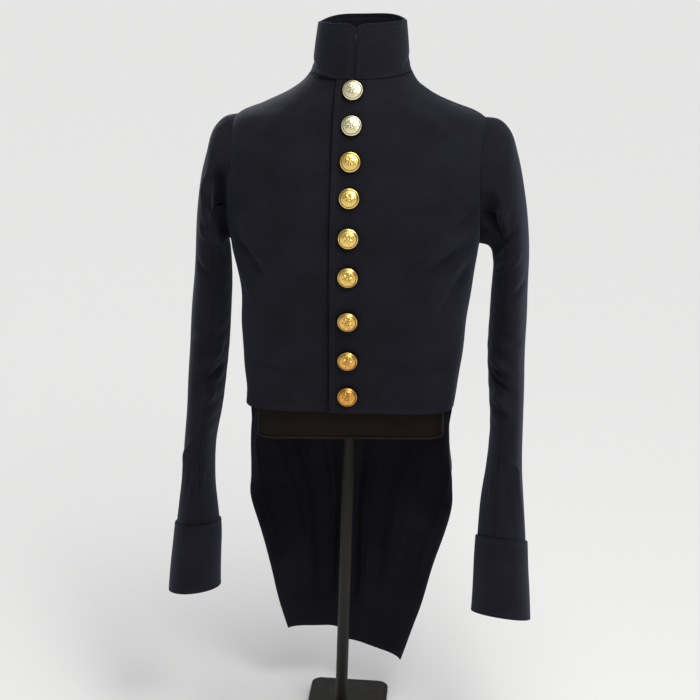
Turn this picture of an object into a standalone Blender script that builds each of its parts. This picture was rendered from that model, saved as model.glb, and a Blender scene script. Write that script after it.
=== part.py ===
# Military tailcoat on a limbless dress form, with its pole and base plate.
#
# Frame: metres, +Z up, origin under the base plate on the pole's axis. The coat's front faces -Y and the wearer's
# left arm is at +X.

import math

import bmesh
import bpy
import numpy as np

# Cloth and the clearances between pieces
CLOTH = 0.0022
COLLAR_WALL = 0.0030
SEAM_GAP = 0.0003
LAP_EDGE = -0.024
UNDERLAP_EDGE = 0.022
LAP_BLEND = 0.030
LAP_CLEAR = 0.020
LAP_GAP = 0.0009
FRONT_COLUMNS = 12
# The step in ring places and directions that normals are read over, and the angle past which edges stay sharp
STEP = 0.0001
SHARP_ANGLE = 40.0
# The coat sits higher on the wearer's left: how much per metre across, by height, for the body's left and right
# halves and for the sleeves
RISE_HEIGHTS = (0.550, 0.660, 0.860, 0.890, 0.905, 0.920, 0.934, 0.946)
LEFT_RISE = (0.050, 0.035, 0.030, 0.016, 0.005, -0.003, -0.004, 0.045)
RIGHT_RISE = (0.000, 0.018, 0.030, 0.036, 0.039, 0.041, 0.044, 0.045)
SLEEVE_RISE = (0.000, 0.020, 0.020, 0.020, 0.020, 0.020, 0.020, 0.020)
# The closing line leans: its distance from the middle at two heights
CLOSING_HEIGHTS = (0.532, 0.950)
CLOSING_LINE = (0.0028, -0.0044)

# The coat's body, outside, ring by ring from the waist to the neck seam. A ring is a superellipse about the
# body's axis: its height at the front, side and back, half its width, its depth to the front and to the back,
# how square it is, and how far its middle stands to the wearer's left.
BODY_RINGS = np.array((
    (0.5130, 0.5090, 0.5080, 0.1392, 0.1020, 0.0860, 6.00, 0.0024),
    (0.5330, 0.5310, 0.5300, 0.1410, 0.1020, 0.0860, 5.00, 0.0040),
    (0.5650, 0.5650, 0.5650, 0.1460, 0.1050, 0.0910, 4.00, 0.0027),
    (0.6100, 0.6100, 0.6100, 0.1492, 0.1110, 0.0990, 3.30, 0.0022),
    (0.6550, 0.6550, 0.6550, 0.1530, 0.1180, 0.1070, 2.90, 0.0034),
    (0.6950, 0.6950, 0.6950, 0.1585, 0.1220, 0.1130, 2.70, 0.0020),
    (0.7220, 0.7220, 0.7220, 0.1640, 0.1230, 0.1150, 2.60, 0.0000),
    (0.7600, 0.7600, 0.7600, 0.1700, 0.1210, 0.1160, 2.60, 0.0000),
    (0.8000, 0.8000, 0.8000, 0.1740, 0.1150, 0.1140, 2.60, 0.0000),
    (0.8350, 0.8350, 0.8350, 0.1750, 0.1070, 0.1080, 2.50, 0.0000),
    (0.8640, 0.8640, 0.8640, 0.1715, 0.0990, 0.1010, 2.40, 0.0000),
    (0.8905, 0.8905, 0.8905, 0.1610, 0.0900, 0.0930, 2.30, 0.0010),
    (0.9050, 0.9050, 0.9060, 0.1295, 0.0855, 0.0860, 2.20, 0.0015),
    (0.9185, 0.9195, 0.9225, 0.0970, 0.0805, 0.0780, 2.20, 0.0005),
    (0.9310, 0.9340, 0.9400, 0.0760, 0.0755, 0.0690, 2.10, 0.0000),
    (0.9420, 0.9460, 0.9560, 0.0657, 0.0705, 0.0600, 2.05, 0.0000),
))
ARMPIT_RING = 6
SHOULDER_RING = 11
NECK_RING = len(BODY_RINGS) - 1

# The armhole is this ellipse, seen from the side, laid on the body's surface.
ARMHOLE_HEIGHT = 0.80625
ARMHOLE_HALF_HEIGHT = 0.08425
ARMHOLE_HALF_DEPTH = 0.060
ARMHOLE_PLACES = (6.0, 6.08, 6.25, 6.5, 7.0, 7.5, 8.0, 8.7, 9.4, 10.0, 10.5, 10.8, 10.95)

# The side body's seam with the back: its direction at each ring, in degrees from the front
SIDE_SEAM = 90.0
BACK_SEAM_WAIST = 142.0
BACK_SEAM_BEND = 1.6
SIDE_BODY_TOP_RING = 7.7
SIDE_BODY_COLUMNS = 5
BACK_COLUMNS = 7

# The sleeves, outside, ring by ring from the shoulder to the hand. Each ring is an ellipse between an outer and
# an inner point, with its middle's Y, half its depth front to back, and how far it leans forward in degrees.
LEFT_SLEEVE = np.array((
    (0.1820, 0.8860, 0.1725, 0.7225, 0.000, 0.0640, 0.0),
    (0.1985, 0.8700, 0.1760, 0.7210, 0.000, 0.0660, 0.0),
    (0.2080, 0.8430, 0.1780, 0.7190, 0.000, 0.0680, 0.0),
    (0.2170, 0.8060, 0.1800, 0.7160, 0.000, 0.0690, 0.0),
    (0.2255, 0.7620, 0.1820, 0.7070, 0.001, 0.0690, 0.0),
    (0.2305, 0.7050, 0.1842, 0.6880, 0.003, 0.0680, 0.0),
    (0.2322, 0.6450, 0.1828, 0.6380, 0.006, 0.0660, 0.0),
    (0.2332, 0.5900, 0.1830, 0.5860, 0.003, 0.0625, 6.0),
    (0.2342, 0.5400, 0.1862, 0.5390, -0.012, 0.0580, 14.0),
    (0.2356, 0.4880, 0.1915, 0.4890, -0.037, 0.0540, 19.0),
    (0.2362, 0.4400, 0.1888, 0.4440, -0.060, 0.0505, 20.0),
    (0.2410, 0.3950, 0.1835, 0.3990, -0.083, 0.0485, 20.0),
    (0.2452, 0.3500, 0.1812, 0.3550, -0.105, 0.0490, 20.0),
    (0.2492, 0.3020, 0.1812, 0.3090, -0.124, 0.0505, 20.0),
    (0.2526, 0.2545, 0.1805, 0.2628, -0.141, 0.0525, 20.0),
))
RIGHT_SLEEVE = np.array((
    (0.1770, 0.8830, 0.1690, 0.7230, 0.000, 0.0640, 0.0),
    (0.1912, 0.8680, 0.1715, 0.7220, 0.000, 0.0660, 0.0),
    (0.1978, 0.8420, 0.1730, 0.7200, 0.000, 0.0680, 0.0),
    (0.2052, 0.8080, 0.1732, 0.7170, 0.000, 0.0690, 0.0),
    (0.2105, 0.7660, 0.1722, 0.7090, 0.001, 0.0690, 0.0),
    (0.2128, 0.7100, 0.1698, 0.6920, 0.003, 0.0680, 0.0),
    (0.2175, 0.6500, 0.1680, 0.6430, 0.006, 0.0660, 0.0),
    (0.2210, 0.5950, 0.1700, 0.5910, 0.006, 0.0625, 3.0),
    (0.2228, 0.5400, 0.1725, 0.5380, 0.002, 0.0585, 7.0),
    (0.2243, 0.4850, 0.1778, 0.4840, -0.006, 0.0545, 9.0),
    (0.2262, 0.4300, 0.1850, 0.4300, -0.014, 0.0510, 10.0),
    (0.2282, 0.3780, 0.1842, 0.3820, -0.024, 0.0490, 11.0),
    (0.2336, 0.3210, 0.1760, 0.3260, -0.035, 0.0490, 12.0),
    (0.2362, 0.2735, 0.1745, 0.2805, -0.044, 0.0505, 12.0),
    (0.2382, 0.2270, 0.1742, 0.2350, -0.052, 0.0525, 12.0),
))
UNDER_SLEEVE_HALF_TURN = 68.0
TOP_SLEEVE_COLUMNS = 13
UNDER_SLEEVE_COLUMNS = 9
SLEEVE_SEAM_RADIUS = 0.030
ARMHOLE_SEAM_GAP = 0.00075
CUFF_START_RING = 13.0
CUFF_GAP = 0.0004

# The tails, row by row from the waist seam down: the outer edge's and the inner edge's place, how square the
# quarter turn between them is (2 is an ellipse, 1 is a straight line), and the depth of its soft wave.
LEFT_TAIL = np.array((
    (0.1360, -0.0140, 0.470, 0.0012, 0.0870, 0.470, 5.00, 0.000),
    (0.1402, 0.0000, 0.420, 0.0018, 0.0950, 0.420, 3.40, 0.002),
    (0.1450, 0.0200, 0.370, 0.0025, 0.1010, 0.370, 2.60, 0.004),
    (0.1452, 0.0360, 0.325, 0.0030, 0.1040, 0.320, 2.10, 0.003),
    (0.1262, 0.0420, 0.250, 0.0030, 0.1050, 0.240, 1.80, 0.004),
    (0.1062, 0.0420, 0.165, 0.0030, 0.1020, 0.160, 1.60, 0.004),
    (0.0830, 0.0400, 0.088, 0.0030, 0.0960, 0.092, 1.50, 0.003),
))
RIGHT_TAIL = np.array((
    (0.1345, -0.0140, 0.470, 0.0012, 0.0870, 0.470, 5.00, 0.000),
    (0.1372, 0.0000, 0.420, 0.0018, 0.0950, 0.420, 3.40, 0.002),
    (0.1398, 0.0240, 0.370, 0.0030, 0.1010, 0.370, 2.60, 0.004),
    (0.1415, 0.0440, 0.325, 0.0050, 0.1050, 0.325, 2.10, 0.003),
    (0.1222, 0.0560, 0.250, 0.0080, 0.1070, 0.250, 1.80, 0.004),
    (0.1060, 0.0640, 0.175, 0.0110, 0.1060, 0.175, 1.60, 0.004),
    (0.0880, 0.0700, 0.113, 0.0140, 0.1030, 0.110, 1.50, 0.003),
))
TAIL_FRONT = 82.0
TAIL_WAVES = 1.25
TAIL_COLUMNS = 13

# The collar, ring by ring up from the neck seam: its rise at the front and the back, half its width, its depth
# to the front and to the back
COLLAR_RINGS = np.array((
    (0.0000, 0.0000, 0.0657, 0.0705, 0.0600),
    (0.0060, 0.0050, 0.0634, 0.0680, 0.0590),
    (0.0200, 0.0180, 0.0618, 0.0655, 0.0580),
    (0.0420, 0.0380, 0.0597, 0.0635, 0.0575),
    (0.0680, 0.0590, 0.0568, 0.0625, 0.0575),
))
COLLAR_FRONT_GAP = 0.0008
COLLAR_FRONT_TURN = -0.055
COLLAR_CORNER = 0.006
COLLAR_CORNER_WIDTH = 0.012
COLLAR_ROWS = 7
COLLAR_COLUMNS = 13

# Domed gilt buttons, at these heights down the centre front
BUTTON_HEIGHTS = (0.9284, 0.8856, 0.8428, 0.7995, 0.7507, 0.7004, 0.6414, 0.5881, 0.5377)
BUTTON_RADIUS = 0.0128
BUTTON_BACK_RADIUS = 0.0116
BUTTON_RIM_RADIUS = 0.0123
BUTTON_RIM = 0.0024
BUTTON_ROLL = 0.0008
BUTTON_DOME = 0.0052
BUTTON_DOME_RADIUS = 0.0108
BUTTON_DOME_FOOT = 0.0012
BUTTON_DOME_TURNS = (22.0, 44.0, 66.0)
BUTTON_SHANK_RADIUS = 0.0032
BUTTON_SHANK = 0.0022
BUTTON_STEPS = 12
BUTTON_WELD = 0.00001

# The dress form: clear of the cloth by these insets, with a block under it that shows below the coat
FORM_INSET_SIDE = 0.0060
FORM_INSET_FRONT = 0.0090
FORM_INSET_BACK = 0.0070
FORM_DROP = 0.001
FORM_START_RING = 1.3
FORM_BOTTOM = 0.540
FORM_TURNS = 28
NECK_TOP = 0.990
NECK_HALF_WIDTH = 0.047
NECK_DEPTH = 0.046
NECK_STRAIGHT = 0.022
NECK_ROUND_HEIGHT = 0.003
NECK_ROUND_INSET = 0.004
BLOCK_HALF_WIDTH = 0.1236
BLOCK_SHIFT = 0.0055
BLOCK_FRONT = 0.0900
BLOCK_BACK = 0.0690
BLOCK_CORNER = 0.022
BLOCK_BOTTOM = 0.4775
BLOCK_TILT = 0.050
CORNER_STEPS = 5
RIM_HEIGHT = 0.0035
RIM_PROUD = 0.0010

# The stand
POLE_RADIUS = 0.0085
PLATE_HALF_WIDTH = 0.0580
PLATE_SHIFT = 0.0055
PLATE_FRONT = 0.180
PLATE_BACK = 0.120
PLATE_CORNER = 0.016
PLATE_THICK = 0.010


def between_rows(rows, place):
    """Rows of a table, or whole rings of points, read at fractional places by a Catmull-Rom curve."""
    place = np.clip(np.asarray(place, float), 0.0, len(rows) - 1.0)
    start = np.minimum(np.floor(place).astype(int), len(rows) - 2)
    t = (place - start)[..., None]
    before = rows[np.maximum(start - 1, 0)]
    here = rows[start]
    after = rows[start + 1]
    beyond = rows[np.minimum(start + 2, len(rows) - 1)]
    slope_here = (after - before) * 0.5
    slope_after = (beyond - here) * 0.5
    t2 = t * t
    t3 = t2 * t
    return ((2 * t3 - 3 * t2 + 1) * here + (t3 - 2 * t2 + t) * slope_here
            + (3 * t2 - 2 * t3) * after + (t3 - t2) * slope_after)


def raised(x, z, left, right):
    """Heights raised with the distance across, by a slope that depends on the height and the side."""
    slope = np.where(x >= 0.0, np.interp(z, RISE_HEIGHTS, left), np.interp(z, RISE_HEIGHTS, right))
    return z + slope * x


def closing_line(z):
    """How far the line that the fronts close on stands to the wearer's left at a height."""
    return np.interp(z, CLOSING_HEIGHTS, CLOSING_LINE)


def ring_radius(half_width, depth, square, turn):
    """Distance from the axis to a superellipse, in the direction turn from the front."""
    across = np.abs(np.sin(turn) / half_width) ** square
    along = np.abs(np.cos(turn) / depth) ** square
    return (across + along) ** (-1.0 / square)


def body_surface(place, turn):
    """The body's outer surface at ring place and direction turn, from the front towards +X."""
    rows = np.moveaxis(between_rows(BODY_RINGS, place), -1, 0)
    z_front, z_side, z_back, half_width, front, back, square, shift = rows
    facing = np.cos(turn)
    radius = ring_radius(half_width, np.where(facing >= 0, front, back), square, turn)
    end = np.where(facing >= 0, z_front, z_back)
    z = z_side + (end - z_side) * facing * facing
    x = radius * np.sin(turn) + shift
    return np.stack((x, -radius * facing, raised(x, z, LEFT_RISE, RIGHT_RISE)), axis=-1)


def armhole_turn(place, rear):
    """Direction in which the armhole's edge meets a ring, on the front or the rear half of the body."""
    row = between_rows(BODY_RINGS, place)
    z = row[..., 1]
    across = np.clip(1.0 - ((z - ARMHOLE_HEIGHT) / ARMHOLE_HALF_HEIGHT) ** 2, 0.0, 1.0)
    y = ARMHOLE_HALF_DEPTH * np.sqrt(across)
    depth = row[..., 5] if rear else row[..., 4]
    x = row[..., 3] * (1.0 - (y / depth) ** row[..., 6]) ** (1.0 / row[..., 6])
    return math.pi - np.arctan2(x, y) if rear else np.arctan2(x, y)


def armhole_point(theta, side):
    """The armhole's edge on the body, from the armpit at 0 over the front at 90 to the shoulder at 180 degrees."""
    z = ARMHOLE_HEIGHT - ARMHOLE_HALF_HEIGHT * np.cos(theta)
    y = -ARMHOLE_HALF_DEPTH * np.sin(theta)
    place = np.interp(z, BODY_RINGS[:, 1], np.arange(len(BODY_RINGS)))
    row = between_rows(BODY_RINGS, place)
    depth = np.where(y <= 0, row[..., 4], row[..., 5])
    x = side * row[..., 3] * (1.0 - np.abs(y / depth) ** row[..., 6]) ** (1.0 / row[..., 6])
    x = x + row[..., 7]
    return np.stack((x, y, raised(x, z, LEFT_RISE, RIGHT_RISE)), axis=-1)


def sleeve_rings(table, side, theta):
    """Every ring of a sleeve at the turns theta: the first is the armhole's edge, drawn in and moved out a little."""
    edge = armhole_point(theta, side)
    middle = np.array((0.0, 0.0, ARMHOLE_HEIGHT))
    inward = (middle - edge) * np.array((0.0, 1.0, 1.0))
    inward /= np.linalg.norm(inward, axis=-1, keepdims=True)
    edge = edge + ARMHOLE_SEAM_GAP * inward + np.array((side * ARMHOLE_SEAM_GAP, 0.0, 0.0))
    rings = [edge]
    for outer_x, outer_z, inner_x, inner_z, middle_y, half_depth, lean in table:
        slant = math.radians(lean)
        outward = (1.0 - np.cos(theta)) / 2.0
        x = side * (inner_x + (outer_x - inner_x) * outward)
        z = inner_z + (outer_z - inner_z) * outward + half_depth * math.sin(slant) * np.sin(theta)
        y = middle_y - half_depth * math.cos(slant) * np.sin(theta)
        rings.append(np.stack((x, y, raised(x, z, SLEEVE_RISE, SLEEVE_RISE)), axis=-1))
    return np.stack(rings)


def sleeve_surface(table, side):
    """A function of a sleeve's ring place and turn that gives its outer surface."""
    def surface(place, theta):
        rings = sleeve_rings(table, side, theta)
        last = len(rings) - 1
        place = np.clip(place, 0.0, last)
        start = np.minimum(np.floor(place).astype(int), last - 1)
        t = (place - start)[..., None]

        def pick(number):
            return np.take_along_axis(rings, np.clip(number, 0, last)[None, ..., None], axis=0)[0]

        before, here, after, beyond = (pick(start + step) for step in (-1, 0, 1, 2))
        slope_here = (after - before) * 0.5
        slope_after = (beyond - here) * 0.5
        t2 = t * t
        t3 = t2 * t
        return ((2 * t3 - 3 * t2 + 1) * here + (t3 - 2 * t2 + t) * slope_here
                + (3 * t2 - 2 * t3) * after + (t3 - t2) * slope_after)
    return surface


def tail_surface(table, side):
    """A function of a tail's row place and share across it, from the inner edge at 0 to the outer edge at 1.

    The first row lies under the waist seam, on the body's own ring. Each lower row runs from the inner to the outer
    edge along a quarter of a superellipse, with a soft wave across it.
    """
    def surface(place, share):
        turn = math.pi + (math.radians(TAIL_FRONT) - math.pi) * share
        turn = turn - 0.5 * SEAM_GAP / BODY_RINGS[0, 5] * (1.0 - share)
        top = body_surface(np.zeros_like(share), side * turn)
        top[..., 2] -= SEAM_GAP
        rows = between_rows(table, np.maximum(place - 1.0, 0.0))
        outer_x, outer_y, outer_z, inner_x, inner_y, inner_z, square, wave = np.moveaxis(rows, -1, 0)
        quarter = share * math.pi / 2.0
        radius = ring_radius(outer_x - inner_x, inner_y - outer_y, square, quarter)
        x = side * (inner_x + radius * np.sin(quarter))
        y = outer_y + radius * np.cos(quarter) + wave * np.sin(2.0 * math.pi * TAIL_WAVES * share)
        z = inner_z + (outer_z - inner_z) * share
        lower = np.stack((x, y, z), axis=-1)
        ease = np.clip(place, 0.0, 1.0)[..., None]
        return top + (lower - top) * ease
    return surface


def collar_surface(place, turn):
    """The standing collar's outer surface: rings that rise from the neck seam."""
    rise_front, rise_back, half_width, front, back = np.moveaxis(between_rows(COLLAR_RINGS, place), -1, 0)
    seam = body_surface(np.full_like(turn, NECK_RING), turn)
    facing = np.cos(turn)
    radius = ring_radius(half_width, np.where(facing >= 0, front, back), BODY_RINGS[-1, 6], turn)
    x = radius * np.sin(turn)
    rise = rise_back + (rise_front - rise_back) * (1.0 + facing) / 2.0
    return np.stack((x, -radius * facing, seam[..., 2] + rise + SEAM_GAP), axis=-1)


def normals(surface, place, turn, sign=1.0):
    """Unit normals of a surface function, from small steps in both of its directions."""
    along = surface(place + STEP, turn) - surface(place - STEP, turn)
    across = surface(place, turn + STEP) - surface(place, turn - STEP)
    normal = np.cross(across, along)
    return sign * normal / np.linalg.norm(normal, axis=-1, keepdims=True)


def level_edge(normal, row):
    """Turn the normals of an edge row level, so that the wall's cut edge there is level too."""
    normal[row, :, 2] = 0.0
    normal[row] /= np.linalg.norm(normal[row], axis=-1, keepdims=True)


def material(name, colour, roughness, metallic=0.0):
    """A plain Principled material in a part's own colour."""
    made = bpy.data.materials.new(name)
    made.use_nodes = True
    shader = made.node_tree.nodes["Principled BSDF"]
    shader.inputs["Base Color"].default_value = (*colour, 1.0)
    shader.inputs["Roughness"].default_value = roughness
    shader.inputs["Metallic"].default_value = metallic
    return made


def place_mesh(name, points, faces, finish, collection):
    """Put points and faces into a named, smooth object with outward faces."""
    mesh = bpy.data.meshes.new(name)
    mesh.from_pydata([tuple(p) for p in points], [], faces)
    mesh.update()
    shape = bmesh.new()
    shape.from_mesh(mesh)
    bmesh.ops.recalc_face_normals(shape, faces=shape.faces)
    shape.to_mesh(mesh)
    shape.free()
    mesh.shade_smooth()
    mesh.set_sharp_from_angle(angle=math.radians(SHARP_ANGLE))
    mesh.materials.append(finish)
    thing = bpy.data.objects.new(name, mesh)
    collection.objects.link(thing)
    return thing


def grid_faces(rows, columns, first, closed):
    """Faces of a grid of points, joined round when it is closed."""
    wide = columns if closed else columns - 1
    return [(first + i * columns + j, first + i * columns + (j + 1) % columns,
             first + (i + 1) * columns + (j + 1) % columns, first + (i + 1) * columns + j)
            for i in range(rows - 1) for j in range(wide)]


def wall(name, outer, inner, closed, finish, collection):
    """A cloth wall: an outer and an inner grid of points, joined along their edges."""
    rows, columns = outer.shape[:2]
    count = rows * columns
    points = np.concatenate((outer.reshape(-1, 3), inner.reshape(-1, 3)))
    faces = grid_faces(rows, columns, 0, closed)
    faces += [tuple(reversed(face)) for face in grid_faces(rows, columns, count, closed)]
    if closed:
        top = [j for j in range(columns)]
        bottom = [(rows - 1) * columns + j for j in range(columns)]
        edges = [(loop[j], loop[(j + 1) % columns]) for loop in (top, bottom) for j in range(columns)]
    else:
        border = [j for j in range(columns)]
        border += [i * columns + columns - 1 for i in range(1, rows)]
        border += [(rows - 1) * columns + j for j in range(columns - 2, -1, -1)]
        border += [i * columns for i in range(rows - 2, 0, -1)]
        edges = [(border[k], border[(k + 1) % len(border)]) for k in range(len(border))]
    faces += [(a, b, b + count, a + count) for a, b in edges]
    return place_mesh(name, points, faces, finish, collection)


def body_panel(name, places, start, stop, finish, collection, columns, inset=None):
    """A panel of the body between two directions given at each ring place, trimmed for its seams."""
    place = np.repeat(places[:, None], columns, axis=1)
    share = np.linspace(0.0, 1.0, columns)[None, :]
    turn = start[:, None] + (stop - start)[:, None] * share
    outer = body_surface(place, turn)
    normal = normals(body_surface, np.clip(place, STEP, NECK_RING - STEP), turn)
    level_edge(normal, 0)
    if inset is not None:
        outer = outer - normal * inset(outer)[..., None]
    return wall(name, outer, outer - normal * CLOTH, False, finish, collection)


def trim(places, turn, towards):
    """Move a seam's direction by half the seam gap, towards larger or smaller turns."""
    row = between_rows(BODY_RINGS, places)
    reach = np.minimum(row[:, 3], row[:, 5])
    return turn + towards * 0.5 * SEAM_GAP / reach


def build_body(cloth, collection):
    """Fronts, side bodies and backs."""
    places = np.concatenate((np.arange(ARMPIT_RING), ARMHOLE_PLACES, np.arange(SHOULDER_RING, NECK_RING + 1.0)))
    row = between_rows(BODY_RINGS, places)
    armhole = (places > ARMPIT_RING) & (places < SHOULDER_RING)
    side = np.full(len(places), math.radians(SIDE_SEAM))
    front_edge = np.where(armhole, armhole_turn(places, False), trim(places, side, -1.0))
    rear_edge = np.where(armhole, armhole_turn(places, True), trim(places, side, 1.0))

    closing = closing_line(row[:, 0]) - row[:, 7]
    lap = np.arctan2(closing + LAP_EDGE, row[:, 4])
    underlap = np.arctan2(closing + UNDERLAP_EDGE, row[:, 4])
    body_panel("front_left", places, lap, front_edge, cloth, collection, FRONT_COLUMNS)

    def under_the_lap(points):
        edge = closing_line(points[..., 2]) + LAP_EDGE
        share = np.clip((points[..., 0] - edge + LAP_CLEAR + LAP_BLEND) / LAP_BLEND, 0.0, 1.0)
        return (CLOTH + LAP_GAP) * share * share * (3.0 - 2.0 * share)

    body_panel("front_right", places, underlap, -front_edge, cloth, collection, FRONT_COLUMNS + 1,
               under_the_lap)

    below = places[places <= SIDE_BODY_TOP_RING]
    count = len(below)
    top_turn = armhole_turn(np.array([SIDE_BODY_TOP_RING]), True)[0]
    fade = (below / SIDE_BODY_TOP_RING) ** BACK_SEAM_BEND
    seam = math.radians(BACK_SEAM_WAIST) + (top_turn - math.radians(BACK_SEAM_WAIST)) * fade
    back_start = rear_edge.copy()
    back_start[:count] = trim(below, seam, 1.0)
    centre = np.full(len(places), math.pi)
    centre_edge = trim(places, centre, -1.0)
    for hand, side_name in ((1.0, "left"), (-1.0, "right")):
        body_panel("side_body_" + side_name, below, hand * rear_edge[:count], hand * trim(below, seam, -1.0),
                   cloth, collection, SIDE_BODY_COLUMNS)
        body_panel("back_" + side_name, places, hand * back_start, hand * centre_edge, cloth, collection,
                   BACK_COLUMNS)


def build_sleeve(table, hand, side_name, cloth, collection):
    """Top sleeve, under sleeve and the cuff laid over their end, whose points stand on the sleeve's own."""
    surface = sleeve_surface(table, hand)
    last = float(len(table))
    places = np.concatenate(([0.0, 0.5], np.arange(1.0, last + 0.5, 1.0)))
    trim_turn = math.degrees(0.5 * SEAM_GAP / SLEEVE_SEAM_RADIUS)
    half_turn = UNDER_SLEEVE_HALF_TURN
    cuff_turns = []
    for piece, start, stop, columns in (("top_sleeve_", half_turn, 360.0 - half_turn, TOP_SLEEVE_COLUMNS),
                                        ("under_sleeve_", -half_turn, half_turn, UNDER_SLEEVE_COLUMNS)):
        theta = np.radians(np.linspace(start + trim_turn, stop - trim_turn, columns))
        cuff_turns.append(np.radians(np.linspace(start, stop, columns))[:-1])
        place, turn = np.meshgrid(places, theta, indexing="ij")
        outer = surface(place, turn)
        normal = normals(surface, np.clip(place, STEP, last - STEP), turn, -hand)
        wall(piece + side_name, outer, outer - normal * CLOTH, False, cloth, collection)

    place, turn = np.meshgrid(np.arange(CUFF_START_RING, last + 0.5), np.concatenate(cuff_turns), indexing="ij")
    under = surface(place, turn)
    normal = normals(surface, np.clip(place, STEP, last - STEP), turn, -hand)
    wall("cuff_" + side_name, under + normal * (CUFF_GAP + CLOTH), under + normal * CUFF_GAP, True,
         cloth, collection)


def build_tail(table, hand, side_name, cloth, collection):
    """One tail, from the waist seam to its hem."""
    surface = tail_surface(table, hand)
    places = np.concatenate(([0.0, 0.5], np.arange(1.0, len(table) + 0.25, 0.5)))
    place, share = np.meshgrid(places, np.linspace(0.0, 1.0, TAIL_COLUMNS), indexing="ij")
    outer = surface(place, share)
    normal = normals(surface, np.clip(place, STEP, len(table) - STEP), np.clip(share, STEP, 1.0 - STEP), hand)
    level_edge(normal, 0)
    wall("tail_" + side_name, outer, outer - normal * CLOTH, False, cloth, collection)


def build_collar(cloth, collection):
    """Both halves of the standing collar."""
    last = len(COLLAR_RINGS) - 1.0
    places = np.linspace(0.0, last, COLLAR_ROWS)
    for hand, side_name in ((1.0, "left"), (-1.0, "right")):
        start = COLLAR_FRONT_GAP / COLLAR_RINGS[0, 3] + hand * COLLAR_FRONT_TURN
        stop = math.pi - 0.5 * SEAM_GAP / COLLAR_RINGS[0, 4]
        place, turn = np.meshgrid(places, hand * np.linspace(start, stop, COLLAR_COLUMNS), indexing="ij")
        outer = collar_surface(place, turn)
        across = np.abs(turn - COLLAR_FRONT_TURN) * COLLAR_RINGS[-1, 3]
        cut = np.clip(1.0 - across / COLLAR_CORNER_WIDTH, 0.0, 1.0) ** 2
        cut = cut * (outer[..., 1] < 0.0) * (place / last) ** 4
        outer[..., 2] -= COLLAR_CORNER * cut
        normal = normals(collar_surface, np.clip(place, STEP, last - STEP), turn)
        normal[..., 2] = 0.0
        normal /= np.linalg.norm(normal, axis=-1, keepdims=True)
        wall("collar_" + side_name, outer, outer - normal * COLLAR_WALL, False, cloth, collection)


def build_buttons(gilt, collection):
    """Nine turned, domed buttons on the left front, each on its shank."""
    top = BUTTON_SHANK + BUTTON_RIM
    profile = [(0.0, top + BUTTON_DOME)]
    widest = math.sin(math.radians(BUTTON_DOME_TURNS[-1]))
    for degrees in BUTTON_DOME_TURNS:
        swing = math.radians(degrees)
        profile.append((BUTTON_DOME_RADIUS * math.sin(swing) / widest,
                        top - BUTTON_DOME_FOOT + (BUTTON_DOME + BUTTON_DOME_FOOT) * math.cos(swing)))
    profile += [(BUTTON_RIM_RADIUS, top + BUTTON_ROLL), (BUTTON_RADIUS, top - BUTTON_ROLL),
                (BUTTON_BACK_RADIUS, BUTTON_SHANK), (BUTTON_SHANK_RADIUS, BUTTON_SHANK),
                (BUTTON_SHANK_RADIUS, 0.0), (0.0, 0.0)]
    mesh = bpy.data.meshes.new("button")
    mesh.from_pydata([(x, 0.0, z) for x, z in profile], [(k, k + 1) for k in range(len(profile) - 1)], [])
    mesh.materials.append(gilt)
    for number, height in enumerate(BUTTON_HEIGHTS, start=1):
        place = np.array([np.interp(height, BODY_RINGS[:, 0], np.arange(len(BODY_RINGS)))])
        row = between_rows(BODY_RINGS, place)[0]
        turn = np.arctan2(closing_line(np.array([height])) - row[7], row[4])
        point = body_surface(place, turn)[0]
        normal = normals(body_surface, place, turn)[0]
        button = bpy.data.objects.new(f"button_{number}", mesh)
        button.location = point + normal * SEAM_GAP
        button.rotation_euler = (math.acos(normal[2]), 0.0, math.atan2(normal[0], -normal[1]))
        turned = button.modifiers.new("Turned", "SCREW")
        turned.steps = BUTTON_STEPS
        turned.render_steps = BUTTON_STEPS
        turned.use_merge_vertices = True
        turned.merge_threshold = BUTTON_WELD
        collection.objects.link(button)


def rounded_plate(name, half_width, front, back, corner, bottom, top, shift, tilt, finish, collection):
    """A block with upright rounded corners: a cube with its four upright edges bevelled, moved to the wearer's left
    and raised there."""
    shape = bmesh.new()
    bmesh.ops.create_cube(shape, size=1.0)
    for vert in shape.verts:
        vert.co.x *= 2.0 * half_width
        vert.co.y = (vert.co.y + 0.5) * (front + back) - front
        vert.co.z = bottom + (vert.co.z + 0.5) * (top - bottom)
    upright = [edge for edge in shape.edges if edge.verts[0].co.z != edge.verts[1].co.z]
    bmesh.ops.bevel(shape, geom=upright, offset=corner, segments=CORNER_STEPS, affect="EDGES", profile=0.5)
    for vert in shape.verts:
        vert.co.z += tilt * vert.co.x
        vert.co.x += shift
    mesh = bpy.data.meshes.new(name)
    shape.to_mesh(mesh)
    shape.free()
    mesh.materials.append(finish)
    plate = bpy.data.objects.new(name, mesh)
    collection.objects.link(plate)
    return plate


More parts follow.
